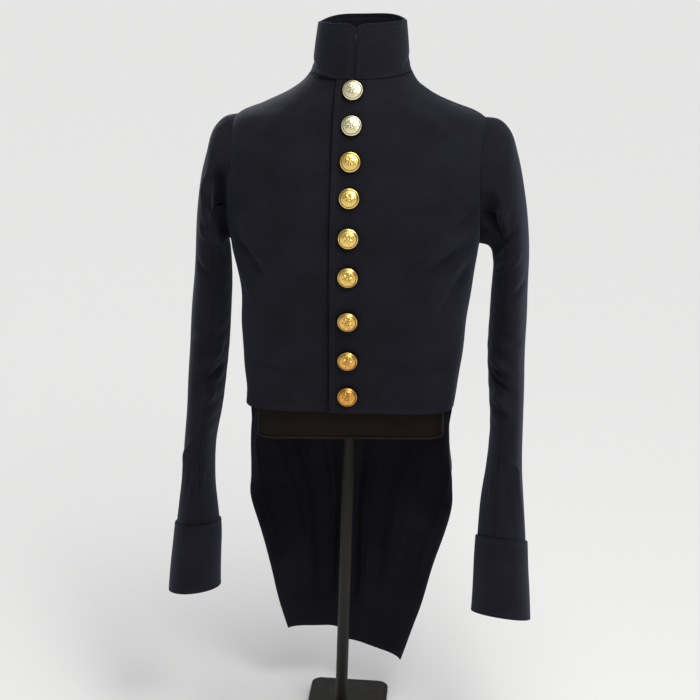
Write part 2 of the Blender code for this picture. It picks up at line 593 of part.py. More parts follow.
def build_form(padding, board, collection):
    """The padded body with its neck, the block that shows under the coat, and the rim under the block."""
    places = np.concatenate(([FORM_START_RING], np.arange(2.0, NECK_RING + 0.5)))
    turn = np.linspace(0.0, 2.0 * math.pi, FORM_TURNS, endpoint=False)
    rows = between_rows(BODY_RINGS, places)
    rings = []
    for number, (z_front, z_side, z_back, half_width, front, back, square, shift) in enumerate(rows):
        facing = np.cos(turn)
        depth = np.where(facing >= 0, front - FORM_INSET_FRONT, back - FORM_INSET_BACK)
        radius = ring_radius(half_width - FORM_INSET_SIDE, depth, square, turn)
        z = z_side + (np.where(facing >= 0, z_front, z_back) - z_side) * facing * facing - FORM_DROP
        x = radius * np.sin(turn) + shift
        z = raised(x, z, LEFT_RISE, RIGHT_RISE) if number else FORM_BOTTOM + BLOCK_TILT * (x - BLOCK_SHIFT)
        rings.append(np.stack((x, -radius * facing, z), axis=-1))
    for height in (NECK_TOP - NECK_STRAIGHT, NECK_TOP - NECK_ROUND_HEIGHT, NECK_TOP):
        shrink = NECK_ROUND_INSET if height == NECK_TOP else 0.0
        rings.append(np.stack(((NECK_HALF_WIDTH - shrink) * np.sin(turn), -(NECK_DEPTH - shrink) * np.cos(turn),
                               np.full_like(turn, height)), axis=-1))
    grid = np.stack(rings)
    faces = grid_faces(len(rings), FORM_TURNS, 0, True)
    faces.append(tuple(range(FORM_TURNS)))
    faces.append(tuple((len(rings) - 1) * FORM_TURNS + k for k in range(FORM_TURNS)))
    place_mesh("form_body", grid.reshape(-1, 3), faces, padding, collection)
    rounded_plate("form_block", BLOCK_HALF_WIDTH, BLOCK_FRONT, BLOCK_BACK, BLOCK_CORNER, BLOCK_BOTTOM,
                  FORM_BOTTOM - SEAM_GAP, BLOCK_SHIFT, BLOCK_TILT, board, collection)
    rim_top = BLOCK_BOTTOM - SEAM_GAP
    rounded_plate("form_rim", BLOCK_HALF_WIDTH + RIM_PROUD, BLOCK_FRONT + RIM_PROUD, BLOCK_BACK + RIM_PROUD,
                  BLOCK_CORNER + RIM_PROUD, rim_top - RIM_HEIGHT, rim_top, BLOCK_SHIFT, BLOCK_TILT, board,
                  collection)


def build_stand(metal, collection):
    """The pole and the base plate."""
    rounded_plate("base_plate", PLATE_HALF_WIDTH, PLATE_FRONT, PLATE_BACK, PLATE_CORNER, 0.0, PLATE_THICK,
                  PLATE_SHIFT, 0.0, metal, collection)
    low = PLATE_THICK + SEAM_GAP
    rim_bottom = BLOCK_BOTTOM - RIM_HEIGHT - SEAM_GAP - BLOCK_TILT * BLOCK_SHIFT
    high = rim_bottom - BLOCK_TILT * POLE_RADIUS - SEAM_GAP
    bpy.ops.mesh.primitive_cylinder_add(vertices=20, radius=POLE_RADIUS, depth=high - low,
                                        location=(0.0, 0.0, (high + low) / 2.0))
    pole = bpy.context.object
    pole.name = "pole"
    pole.data.materials.append(metal)
    pole.data.shade_smooth()
    pole.data.set_sharp_from_angle(angle=math.radians(SHARP_ANGLE))
    for holder in list(pole.users_collection):
        holder.objects.unlink(pole)
    collection.objects.link(pole)


def build():
    for old in list(bpy.data.objects):
        bpy.data.objects.remove(old)
    collection = bpy.data.collections.new("Military tailcoat on dress form")
    bpy.context.scene.collection.children.link(collection)
    navy = material("Navy wool", (0.012, 0.013, 0.022), 0.9)
    gilt = material("Gilt", (0.80, 0.55, 0.20), 0.3, 1.0)
    padding = material("Form covering", (0.05, 0.035, 0.025), 0.8)
    board = material("Brown board", (0.022, 0.014, 0.009), 0.6)
    metal = material("Dark metal", (0.05, 0.045, 0.038), 0.45, 0.6)

    build_body(navy, collection)
    build_collar(navy, collection)
    build_sleeve(LEFT_SLEEVE, 1.0, "left", navy, collection)
    build_sleeve(RIGHT_SLEEVE, -1.0, "right", navy, collection)
    build_tail(LEFT_TAIL, 1.0, "left", navy, collection)
    build_tail(RIGHT_TAIL, -1.0, "right", navy, collection)
    build_buttons(gilt, collection)
    build_form(padding, board, collection)
    build_stand(metal, collection)


build()
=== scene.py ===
import math

import bmesh
import bpy
import numpy as np
from mathutils import Matrix


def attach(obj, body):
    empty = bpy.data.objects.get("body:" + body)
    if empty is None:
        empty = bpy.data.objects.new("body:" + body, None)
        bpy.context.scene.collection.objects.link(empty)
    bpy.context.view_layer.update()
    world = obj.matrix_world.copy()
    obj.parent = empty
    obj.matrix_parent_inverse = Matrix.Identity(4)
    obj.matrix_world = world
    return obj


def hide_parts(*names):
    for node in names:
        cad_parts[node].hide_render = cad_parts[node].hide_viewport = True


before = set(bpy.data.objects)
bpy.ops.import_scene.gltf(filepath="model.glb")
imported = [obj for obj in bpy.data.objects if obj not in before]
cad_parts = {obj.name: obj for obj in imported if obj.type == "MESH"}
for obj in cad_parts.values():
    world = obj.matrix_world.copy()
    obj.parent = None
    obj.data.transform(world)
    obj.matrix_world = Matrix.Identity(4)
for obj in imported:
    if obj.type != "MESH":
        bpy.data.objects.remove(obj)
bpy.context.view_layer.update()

# ------------------------------------------------------------------------------------------------------------------
# Base plate: a flat steel plate with rounded corners, dark bronze paint worn a little paler along its edges.
# The pole is screwed into it from below.
# ------------------------------------------------------------------------------------------------------------------

PLATE_HALF_WIDTH = 0.0580
PLATE_SHIFT = 0.0055
PLATE_FRONT = 0.180
PLATE_BACK = 0.120
PLATE_CORNER = 0.016
PLATE_THICK = 0.010
PLATE_EDGE = 0.0016


class Shading:
    """A new material, or a group that materials share, and its nodes, made and joined in one line each."""

    def __init__(self, name, group_outputs=None):
        if group_outputs is None:
            self.made = bpy.data.materials.new(name)
            self.made.use_nodes = True
            self.tree = self.made.node_tree
            self.shader = self.tree.nodes["Principled BSDF"]
        else:
            self.made = self.tree = bpy.data.node_groups.new(name, "ShaderNodeTree")
            for label, kind in group_outputs:
                self.tree.interface.new_socket(name=label, in_out="OUTPUT", socket_type=kind)
            self.shader = self.tree.nodes.new("NodeGroupOutput")

    def node(self, kind, settings=None, **sockets):
        """Add a node, set its settings, and set or join its sockets by name (underscores stand for spaces)."""
        made = self.tree.nodes.new(kind)
        for key, value in (settings or {}).items():
            setattr(made, key, value)
        for key, value in sockets.items():
            self.join(made, key.replace("_", " "), value)
        return made

    def join(self, node, socket, value):
        """Set one input of a node, given by name or number, to a value or to another node's output."""
        if isinstance(socket, str) and socket not in node.inputs and socket.isdigit():
            socket = int(socket)
        target = node.inputs[socket]
        if isinstance(value, bpy.types.NodeSocket):
            self.tree.links.new(value, target)
        else:
            target.default_value = value

    def noise(self, scale, detail=2.0, roughness=0.5, stretch=(1.0, 1.0, 1.0)):
        """A noise value on the object's own coordinates, in 1/metres, stretched along an axis."""
        place = self.node("ShaderNodeTexCoord").outputs["Object"]
        place = self.node("ShaderNodeMapping", Vector=place, Scale=stretch).outputs["Vector"]
        made = self.node("ShaderNodeTexNoise", Vector=place, Scale=scale, Detail=detail, Roughness=roughness)
        return made.outputs["Fac"]

    def spread(self, value, low, high, to_low=0.0, to_high=1.0):
        """Map a value's range low to high onto another range, clamped."""
        made = self.node("ShaderNodeMapRange", Value=value)
        for socket, number in zip(("From Min", "From Max", "To Min", "To Max"), (low, high, to_low, to_high)):
            made.inputs[socket].default_value = number
        return made.outputs["Result"]

    def mix(self, factor, first, second, blend="MIX"):
        """Mix two colours."""
        made = self.node("ShaderNodeMix", {"data_type": "RGBA", "blend_type": blend})
        for number, value in ((0, factor), (6, first), (7, second)):
            if isinstance(value, tuple) and len(value) == 3:
                value = (*value, 1.0)
            self.join(made, number, value)
        return made.outputs[2]

    def maths(self, operation, first, second=0.0):
        """One sum on two values."""
        made = self.node("ShaderNodeMath", {"operation": operation})
        self.join(made, 0, first)
        self.join(made, 1, second)
        return made.outputs[0]

    def bump(self, height, distance, strength=1.0, normal=None):
        """A normal from a height value and the depth it stands for in metres."""
        made = self.node("ShaderNodeBump", Height=height, Distance=distance, Strength=strength)
        if normal is not None:
            self.join(made, "Normal", normal)
        return made.outputs["Normal"]

    def finish(self, **sockets):
        """Set the shader's own inputs, or the group's outputs, and give the material or group back."""
        for key, value in sockets.items():
            self.join(self.shader, key.replace("_", " "), value)
        return self.made


def worn_edges():
    """A group that gives 1 on rubbed outside edges and fades to 0 beside them, broken up by a fine noise."""
    made = Shading("Worn edges", (("Mask", "NodeSocketFloat"),))
    round_normal = made.node("ShaderNodeBevel", {"samples": 6}, Radius=0.0016).outputs["Normal"]
    flat_normal = made.node("ShaderNodeNewGeometry").outputs["Normal"]
    turn = made.node("ShaderNodeVectorMath", {"operation": "DOT_PRODUCT"})
    made.join(turn, 0, round_normal)
    made.join(turn, 1, flat_normal)
    edge = made.spread(turn.outputs["Value"], 0.995, 0.90)
    return made.finish(Mask=made.maths("MULTIPLY", edge, made.spread(made.noise(180.0, 4.0), 0.35, 0.65)))


WORN = worn_edges()


def thing(name, points, faces, material, smooth_angle=None):
    """An object from an array of points and a list of faces, smooth, or sharp beyond an angle in degrees."""
    mesh = bpy.data.meshes.new(name)
    mesh.from_pydata(points, [], faces)
    mesh.update()
    mesh.shade_smooth()
    if smooth_angle is not None:
        mesh.set_sharp_from_angle(angle=math.radians(smooth_angle))
    mesh.materials.append(material)
    made = bpy.data.objects.new(name, mesh)
    bpy.context.scene.collection.objects.link(made)
    return made


def rounded_block(name, half_width, front, back, corner, bottom, top, shift, tilt, edge, material):
    """An upright block: a cube whose four upright edges are rounded by corner and the others by edge, then sheared
    up by tilt times x and moved by shift along X."""
    shape = bmesh.new()
    bmesh.ops.create_cube(shape, size=1.0)
    size = Matrix.Diagonal((2.0 * half_width, front + back, top - bottom, 1.0))
    bmesh.ops.transform(shape, matrix=Matrix.Translation((0.0, (back - front) / 2.0, (top + bottom) / 2.0)) @ size,
                        verts=shape.verts)
    upright = [line for line in shape.edges if abs(line.verts[0].co.z - line.verts[1].co.z) > 1e-6]
    bmesh.ops.bevel(shape, geom=upright, offset=corner, segments=10, affect="EDGES", profile=0.5)
    level = [line for line in shape.edges if line.calc_face_angle(0.0) > 1.2]
    bmesh.ops.bevel(shape, geom=level, offset=edge, segments=4, affect="EDGES", profile=0.5)
    leaning = Matrix(((1.0, 0.0, 0.0, shift), (0.0, 1.0, 0.0, 0.0), (tilt, 0.0, 1.0, 0.0), (0.0, 0.0, 0.0, 1.0)))
    bmesh.ops.transform(shape, matrix=leaning, verts=shape.verts)
    mesh = bpy.data.meshes.new(name)
    shape.to_mesh(mesh)
    shape.free()
    mesh.shade_smooth()
    mesh.set_sharp_from_angle(angle=math.radians(35.0))
    mesh.materials.append(material)
    made = bpy.data.objects.new(name, mesh)
    bpy.context.scene.collection.objects.link(made)
    return made


def stand_paint():
    """Dark bronze paint: slightly mottled, rubbed paler on its edges, with faint orange peel."""
    made = Shading("Stand paint")
    colour = made.mix(made.noise(22.0, 3.0), (0.0075, 0.0070, 0.0052), (0.0130, 0.0115, 0.0082))
    wear = made.node("ShaderNodeGroup", {"node_tree": WORN}).outputs["Mask"]
    colour = made.mix(made.maths("MULTIPLY", wear, 0.55), colour, (0.10, 0.088, 0.062))
    rough = made.spread(made.noise(60.0, 3.0), 0.3, 0.7, 0.46, 0.58)
    normal = made.bump(made.noise(900.0, 1.0), 0.00004)
    return made.finish(Base_Color=colour, Roughness=rough, Metallic=0.20, Specular_IOR_Level=0.35, Normal=normal)


PAINT = stand_paint()
base_plate = rounded_block("Base_plate", PLATE_HALF_WIDTH, PLATE_FRONT, PLATE_BACK, PLATE_CORNER, 0.0, PLATE_THICK,
                           PLATE_SHIFT, 0.0, PLATE_EDGE, PAINT)
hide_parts("base_plate")
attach(base_plate, "root")

# ------------------------------------------------------------------------------------------------------------------
# Pole: a drawn steel tube in the same paint, standing in the plate. It runs up to the rim under the dress form.
# ------------------------------------------------------------------------------------------------------------------

POLE_RADIUS = 0.0085
POLE_TOP = 0.47272
POLE_EDGE = 0.0008


def turned(name, profile, sides, material, smooth_angle=35.0):
    """A turned solid about Z from (radius, height) points, closed by a fan at both ends, which lie on the axis.

    Point (i, j) is radius_i times (cos, sin) of a turn of j parts of a circle, at height_i.
    """
    turn = np.linspace(0.0, 2.0 * math.pi, sides, endpoint=False)
    radius, height = np.array(profile[1:-1]).T
    ring = np.stack((radius[:, None] * np.cos(turn), radius[:, None] * np.sin(turn),
                     np.repeat(height[:, None], sides, axis=1)), axis=-1).reshape(-1, 3)
    ends = np.array([(0.0, 0.0, profile[0][1]), (0.0, 0.0, profile[-1][1])])
    i, j = np.meshgrid(np.arange(len(radius) - 1) * sides, np.arange(sides), indexing="ij")
    after = (j + 1) % sides
    faces = np.stack((i + j, i + after, i + sides + after, i + sides + j), axis=-1).reshape(-1, 4).tolist()
    low, high, last = len(ring), len(ring) + 1, len(ring) - sides
    faces += [(low, (k + 1) % sides, k) for k in range(sides)]
    faces += [(high, last + k, last + (k + 1) % sides) for k in range(sides)]
    return thing(name, np.concatenate((ring, ends)), faces, material, smooth_angle)


POLE_CLEAR = 0.0003

bend = np.linspace(0.0, math.pi / 2.0, 4)
pole_foot = PLATE_THICK + POLE_CLEAR
low_edge = [(POLE_RADIUS - POLE_EDGE + POLE_EDGE * math.sin(t), pole_foot + POLE_EDGE * (1.0 - math.cos(t)))
            for t in bend]
high_edge = [(POLE_RADIUS - POLE_EDGE + POLE_EDGE * math.cos(t), POLE_TOP - POLE_EDGE * (1.0 - math.sin(t)))
             for t in bend]
pole = turned("Pole", [(0.0, PLATE_THICK + 0.0003), *low_edge, *high_edge, (0.0, POLE_TOP)], 64, PAINT)
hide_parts("pole")
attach(pole, "root")

# ------------------------------------------------------------------------------------------------------------------
# Form block and rim: the flat-fronted wooden block that ends the dress form and shows below the coat, stained dark
# brown, and the thin board glued under it. Grain runs across; the stain is rubbed paler along the edges.
# ------------------------------------------------------------------------------------------------------------------

BLOCK_HALF_WIDTH = 0.1236
BLOCK_SHIFT = 0.0055
BLOCK_FRONT = 0.0900
BLOCK_BACK = 0.0690
BLOCK_CORNER = 0.022
BLOCK_BOTTOM = 0.4775
BLOCK_TILT = 0.050
BLOCK_TOP = 0.5397
BLOCK_EDGE = 0.0012
RIM_TOP = 0.4772
RIM_HEIGHT = 0.0035
RIM_PROUD = 0.0010


def stained_wood(name, dark, light):
    """Dark stained wood: fine grain along X, two browns, satin, with rubbed edges."""
    made = Shading(name)
    grain = made.noise(90.0, 5.0, 0.6, (0.10, 1.0, 1.0))
    figure = made.noise(14.0, 3.0, 0.5, (0.35, 1.0, 1.0))
    colour = made.mix(made.spread(grain, 0.35, 0.65), dark, light)
    colour = made.mix(made.spread(figure, 0.3, 0.7, 0.0, 0.5), colour, dark)
    wear = made.node("ShaderNodeGroup", {"node_tree": WORN}).outputs["Mask"]
    colour = made.mix(made.maths("MULTIPLY", wear, 0.5), colour, (0.050, 0.030, 0.018))
    rough = made.spread(grain, 0.3, 0.7, 0.62, 0.76)
    return made.finish(Base_Color=colour, Roughness=rough, Specular_IOR_Level=0.12, Normal=made.bump(grain, 0.00012))


BLOCK_WOOD = stained_wood("Stained block", (0.0050, 0.0025, 0.0012), (0.0098, 0.0051, 0.0026))
block = rounded_block("Form_block", BLOCK_HALF_WIDTH, BLOCK_FRONT, BLOCK_BACK, BLOCK_CORNER, BLOCK_BOTTOM, BLOCK_TOP,
                      BLOCK_SHIFT, BLOCK_TILT, BLOCK_EDGE, BLOCK_WOOD)
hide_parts("form_block")
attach(block, "root")

rim = rounded_block("Form_rim", BLOCK_HALF_WIDTH + RIM_PROUD, BLOCK_FRONT + RIM_PROUD, BLOCK_BACK + RIM_PROUD,
                    BLOCK_CORNER + RIM_PROUD, RIM_TOP - RIM_HEIGHT, RIM_TOP, BLOCK_SHIFT, BLOCK_TILT, 0.0007,
                    stained_wood("Stained rim", (0.0075, 0.0047, 0.0030), (0.0140, 0.0088, 0.0056)))
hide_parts("form_rim")
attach(rim, "root")

# ------------------------------------------------------------------------------------------------------------------
# Form body: the moulded papier-mache trunk with its round neck, covered in dark brown cloth-backed paper. The coat
# is put on over it. Its lower end is glued to the block.
# ------------------------------------------------------------------------------------------------------------------

BODY_RINGS = np.array((
    # z_front, z_side, z_back, half_width, front, back, square, shift
    (0.5130, 0.5090, 0.5080, 0.1392, 0.1020, 0.0860, 6.00, 0.0024),
    (0.5330, 0.5310, 0.5300, 0.1410, 0.1020, 0.0860, 5.00, 0.0040),
    (0.5650, 0.5650, 0.5650, 0.1460, 0.1050, 0.0910, 4.00, 0.0027),
    (0.6100, 0.6100, 0.6100, 0.1492, 0.1110, 0.0990, 3.30, 0.0022),
    (0.6550, 0.6550, 0.6550, 0.1530, 0.1180, 0.1070, 2.90, 0.0034),
    (0.6950, 0.6950, 0.6950, 0.1585, 0.1220, 0.1130, 2.70, 0.0020),
    (0.7220, 0.7220, 0.7220, 0.1640, 0.1230, 0.1150, 2.60, 0.0000),
    (0.7600, 0.7600, 0.7600, 0.1700, 0.1210, 0.1160, 2.60, 0.0000),
    (0.8000, 0.8000, 0.8000, 0.1740, 0.1150, 0.1140, 2.60, 0.0000),
    (0.8350, 0.8350, 0.8350, 0.1750, 0.1070, 0.1080, 2.50, 0.0000),
    (0.8640, 0.8640, 0.8640, 0.1715, 0.0990, 0.1010, 2.40, 0.0000),
    (0.8905, 0.8905, 0.8905, 0.1610, 0.0900, 0.0930, 2.30, 0.0010),
    (0.9050, 0.9050, 0.9060, 0.1295, 0.0855, 0.0860, 2.20, 0.0015),
    (0.9185, 0.9195, 0.9225, 0.0970, 0.0805, 0.0780, 2.20, 0.0005),
    (0.9310, 0.9340, 0.9400, 0.0760, 0.0755, 0.0690, 2.10, 0.0000),
    (0.9420, 0.9460, 0.9560, 0.0657, 0.0705, 0.0600, 2.05, 0.0000),
))
NECK_RING = 15.0
RISE_HEIGHTS = (0.550, 0.660, 0.860, 0.890, 0.905, 0.920, 0.934, 0.946)
LEFT_RISE = (0.050, 0.035, 0.030, 0.016, 0.005, -0.003, -0.004, 0.045)
RIGHT_RISE = (0.000, 0.018, 0.030, 0.036, 0.039, 0.041, 0.044, 0.045)
FORM_INSET_SIDE = 0.0060
FORM_INSET_FRONT = 0.0090
FORM_INSET_BACK = 0.0070
FORM_START_RING = 1.3
FORM_BOTTOM = 0.540
NECK_TOP = 0.990
NECK_HALF_WIDTH = 0.047
NECK_DEPTH = 0.046


def between_rows(rows, place):
    """Rows of a table read at fractional places by a Catmull-Rom curve: a cubic through the rows before and after,
    whose slope at each row is half the step from the row before it to the row after it."""
    place = np.clip(np.asarray(place, float), 0.0, len(rows) - 1.0)
    start = np.minimum(np.floor(place).astype(int), len(rows) - 2)
    t = (place - start)[..., None]
    before, here = rows[np.maximum(start - 1, 0)], rows[start]
    after, beyond = rows[start + 1], rows[np.minimum(start + 2, len(rows) - 1)]
    slope_here, slope_after = (after - before) * 0.5, (beyond - here) * 0.5
    return ((2 * t**3 - 3 * t**2 + 1) * here + (t**3 - 2 * t**2 + t) * slope_here
            + (3 * t**2 - 2 * t**3) * after + (t**3 - t**2) * slope_after)


def raised(x, z, left, right):
    """Heights raised across the coat: z plus x times a slope read from the height, one table for each side."""
    return z + x * np.where(x >= 0.0, np.interp(z, RISE_HEIGHTS, left), np.interp(z, RISE_HEIGHTS, right))


def ring_radius(half_width, depth, square, turn):
    """Distance from the axis to a superellipse in the direction turn from the front."""
    return (np.abs(np.sin(turn) / half_width) ** square + np.abs(np.cos(turn) / depth) ** square) ** (-1.0 / square)


def grid_faces(rows, columns, closed, first=0, flip=False):
    """Quads of a grid of points: (i, j), (i, j+1), (i+1, j+1), (i+1, j), joined round when closed."""
    i, j = np.meshgrid(np.arange(rows - 1) * columns, np.arange(columns if closed else columns - 1), indexing="ij")
    after = (j + 1) % columns
    quads = np.stack((i + j, i + after, i + columns + after, i + columns + j), axis=-1).reshape(-1, 4) + first
    return (quads[:, ::-1] if flip else quads).tolist()


def form_trunk():
    """The trunk: the body's rings drawn in by the insets, then the neck's, each a superellipse; both ends closed.

    The rings are read between FORM_START_RING and the neck seam, run on into the neck by one more Catmull-Rom curve
    over whole rings, and the neck's top edge turns in along a quarter circle.
    """
    turn = np.linspace(0.0, 2.0 * math.pi, 128, endpoint=False)
    facing = np.cos(turn)
    rings = []
    rows = between_rows(BODY_RINGS, np.concatenate(([FORM_START_RING], np.arange(2.0, NECK_RING + 0.5))))
    for number, (z_front, z_side, z_back, half_width, front, back, square, shift) in enumerate(rows):
        depth = np.where(facing >= 0, front - FORM_INSET_FRONT, back - FORM_INSET_BACK)
        radius = ring_radius(half_width - FORM_INSET_SIDE, depth, square, turn)
        z = z_side + (np.where(facing >= 0, z_front, z_back) - z_side) * facing**2 - 0.001
        x = radius * np.sin(turn) + shift
        z = raised(x, z, LEFT_RISE, RIGHT_RISE) if number else FORM_BOTTOM + BLOCK_TILT * (x - BLOCK_SHIFT)
        rings.append(np.stack((x, -radius * facing, z), axis=-1))
    neck = [(NECK_TOP - 0.022, 0.0), (NECK_TOP - 0.004, 0.0)]
    for height, shrink in neck:
        rings.append(np.stack(((NECK_HALF_WIDTH - shrink) * np.sin(turn), -(NECK_DEPTH - shrink) * facing,
                               np.full_like(turn, height)), axis=-1))
    grid = between_rows(np.stack(rings).reshape(len(rings), -1), np.linspace(0.0, len(rings) - 1.0, 120))
    grid = grid.reshape(len(grid), len(turn), 3)
    edge = np.linspace(0.0, math.pi / 2.0, 6)[1:, None]
    shrink, rise = 0.004 * (1.0 - np.cos(edge)), 0.004 * np.sin(edge)
    turned_in = np.stack(((NECK_HALF_WIDTH - shrink) * np.sin(turn), -(NECK_DEPTH - shrink) * facing,
                          NECK_TOP - 0.004 + rise + 0.0 * turn), axis=-1)
    grid = np.concatenate((grid, turned_in))
    rows, columns = grid.shape[:2]
    ends = np.array([(0.0, 0.0, grid[0, :, 2].mean()), (0.0, 0.0, NECK_TOP)])
    low, high, last = rows * columns, rows * columns + 1, (rows - 1) * columns
    faces = grid_faces(rows, columns, True)
    faces += [(low, (k + 1) % columns, k) for k in range(columns)]
    faces += [(high, last + k, last + (k + 1) % columns) for k in range(columns)]
    return np.concatenate((grid.reshape(-1, 3), ends)), faces


covering = Shading("Form covering")
fibres = covering.noise(700.0, 4.0, 0.65)
form_body = thing("Form_body", *form_trunk(), covering.finish(
    Base_Color=covering.mix(covering.noise(18.0, 3.0), (0.020, 0.017, 0.015), (0.034, 0.029, 0.025)),
    Roughness=0.72, Normal=covering.bump(fibres, 0.00010)), 50.0)
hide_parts("form_body")
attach(form_body, "root")

# ------------------------------------------------------------------------------------------------------------------
# Coat body: two fronts, two side bodies and two backs of heavy navy wool, milled and napped, seamed edge to edge
# over the form. The left front laps over the right one and both end in a straight raw edge at the waist.
# ------------------------------------------------------------------------------------------------------------------

CLOTH = 0.0022
SEAM_GAP = 0.0001
LAP_EDGE = -0.024
UNDERLAP_EDGE = 0.022
LAP_BLEND = 0.030
LAP_CLEAR = 0.020
LAP_GAP = 0.0009
LAP_LIFT, LAP_LIFT_WIDTH = 0.0012, 0.006
CLOSING_HEIGHTS = (0.532, 0.950)
CLOSING_LINE = (0.0028, -0.0044)
CREASE = 2.1
# reach in metres of the painted shade that darkens the wool in its folds, creases and hollows
PAINTED_SHADE_REACH = 0.020
STITCH_INSET = 0.0058
STITCH_LENGTH = 0.0030
ARMHOLE_FILL = 0.0085
ARMHOLE_FILL_REACH = 0.50
ARMHOLE_LOW, ARMHOLE_HIGH = 6.0, 10.95
ARMHOLE_MIDDLE, ARMHOLE_HALF_HEIGHT, ARMHOLE_HALF_DEPTH = 0.80625, 0.08425, 0.060
SIDE_SEAM, BACK_SEAM_WAIST, SIDE_BODY_TOP = math.radians(90.0), math.radians(142.0), 7.7


def wool_nap():
    """A group that gives the wool's mottle, a mask of paler lint, the topstitching as a mask of dashes at an even
    distance from each cut edge (from the Edge and Run attributes), and the relief of the nap and the sewing."""
    made = Shading("Wool nap", (("Mottle", "NodeSocketFloat"), ("Lint", "NodeSocketFloat"),
                                ("Stitch", "NodeSocketFloat"), ("Normal", "NodeSocketVector")))
    fibre = made.noise(1500.0, 3.0, 0.7, (1.0, 1.0, 0.45))
    felt = made.noise(420.0, 3.0, 0.6)
    cloud = made.noise(22.0, 5.0, 0.60)
    mottle = made.maths("ADD", made.maths("MULTIPLY", cloud, 0.62), made.maths("MULTIPLY", felt, 0.38))
    lint = made.spread(made.noise(2300.0, 2.0, 0.8), 0.70, 0.78)
    edge = made.node("ShaderNodeAttribute", {"attribute_name": "Edge"}).outputs["Fac"]
    run = made.node("ShaderNodeAttribute", {"attribute_name": "Run"}).outputs["Fac"]
    off = made.maths("ABSOLUTE", made.maths("SUBTRACT", edge, STITCH_INSET))
    wave = made.maths("SINE", made.maths("MULTIPLY", run, 2.0 * math.pi / STITCH_LENGTH))
    stitch = made.maths("MULTIPLY", made.spread(off, 0.0003, 0.0008, 1.0, 0.0), made.spread(wave, -0.75, -0.35))
    groove = made.spread(off, 0.0004, 0.0022, 1.0, 0.0)
    sewn = made.maths("SUBTRACT", made.maths("MULTIPLY", stitch, 0.5), made.maths("MULTIPLY", groove, 0.8))
    pile = made.bump(made.maths("ADD", made.maths("MULTIPLY", fibre, 0.6), felt), 0.00034, 0.9)
    normal = made.bump(sewn, 0.0005, 0.9, pile)
    return made.finish(Mottle=made.spread(mottle, 0.34, 0.66), Lint=lint, Stitch=stitch, Normal=normal)


NAP = wool_nap()


def wool(name, dark=(0.0036, 0.0037, 0.0066), light=(0.0086, 0.0089, 0.0142)):
    """Napped navy wool: two close blues by the mottle, with painted shade darkening it in its folds and hollows, a
    little lint, with a soft sheen.
    """
    made = Shading(name)
    nap = made.node("ShaderNodeGroup", {"node_tree": NAP}).outputs
    colour = made.mix(nap["Mottle"], dark, light)
    colour = made.mix(made.maths("MULTIPLY", nap["Lint"], 0.16), colour, (0.08, 0.08, 0.10))
    hollow = made.node("ShaderNodeAmbientOcclusion", {"samples": 6}, Distance=PAINTED_SHADE_REACH).outputs["AO"]
    # painted shade: where ambient occlusion finds folds, creases and hollows, the wool's colour is mixed towards a
    # near-black blue
    colour = made.mix(made.spread(hollow, 0.52, 0.96, 0.90, 0.0), colour, (0.0012, 0.0012, 0.0022))
    colour = made.mix(made.maths("MULTIPLY", nap["Stitch"], 0.6), colour, (0.014, 0.015, 0.024))
    return made.finish(Base_Color=colour, Roughness=0.88, Specular_IOR_Level=0.16, Sheen_Weight=0.10,
                       Sheen_Roughness=0.45, Sheen_Tint=(0.55, 0.60, 0.85, 1.0), Normal=nap["Normal"])


WOOL = wool("Navy wool")


def body_surface(place, turn):
    """The body's outside without folds, at ring place and direction turn from the front towards the wearer's left:
    a superellipse whose height runs from the side's to the front's or the back's by the squared cosine of turn."""
    rows = np.moveaxis(between_rows(BODY_RINGS, place), -1, 0)
    z_front, z_side, z_back, half_width, front, back, square, shift = rows
    facing = np.cos(turn)
    radius = ring_radius(half_width, np.where(facing >= 0, front, back), square, turn)
    z = z_side + (np.where(facing >= 0, z_front, z_back) - z_side) * facing**2
    x = radius * np.sin(turn) + shift
    return np.stack((x, -radius * facing, raised(x, z, LEFT_RISE, RIGHT_RISE)), axis=-1)


def closing_line(z):
    """How far the line that the fronts close on stands to the wearer's left, straight between two heights."""
    return np.interp(z, CLOSING_HEIGHTS, CLOSING_LINE)


def normals(surface, place, turn, sign=1.0):
    """Unit normals of a surface function: the cross product of small steps in its two directions."""
    step = 1e-4
    along = surface(place + step, turn) - surface(place - step, turn)
    across = surface(place, turn + step) - surface(place, turn - step)
    normal = np.cross(across, along)
    return sign * normal / np.maximum(np.linalg.norm(normal, axis=-1, keepdims=True), 1e-12)


def ridge(x, z, start, end, width, height, fade=0.35):
    """A soft crease between two points of a flat view (x, z): height times a bell across it of about that width,
    which rises from 0 over the first part fade of its length and sinks again over the last."""
    start, end = np.array(start), np.array(end)
    run = end - start
    length = np.hypot(*run)
    share = ((x - start[0]) * run[0] + (z - start[1]) * run[1]) / length**2
    off = ((x - start[0]) * run[1] - (z - start[1]) * run[0]) / length
    ends = np.clip(np.minimum(share, 1.0 - share) / fade, 0.0, 1.0)
    return CREASE * height * np.exp(-(off / (0.75 * width)) ** 2) * ends * ends * (3.0 - 2.0 * ends)


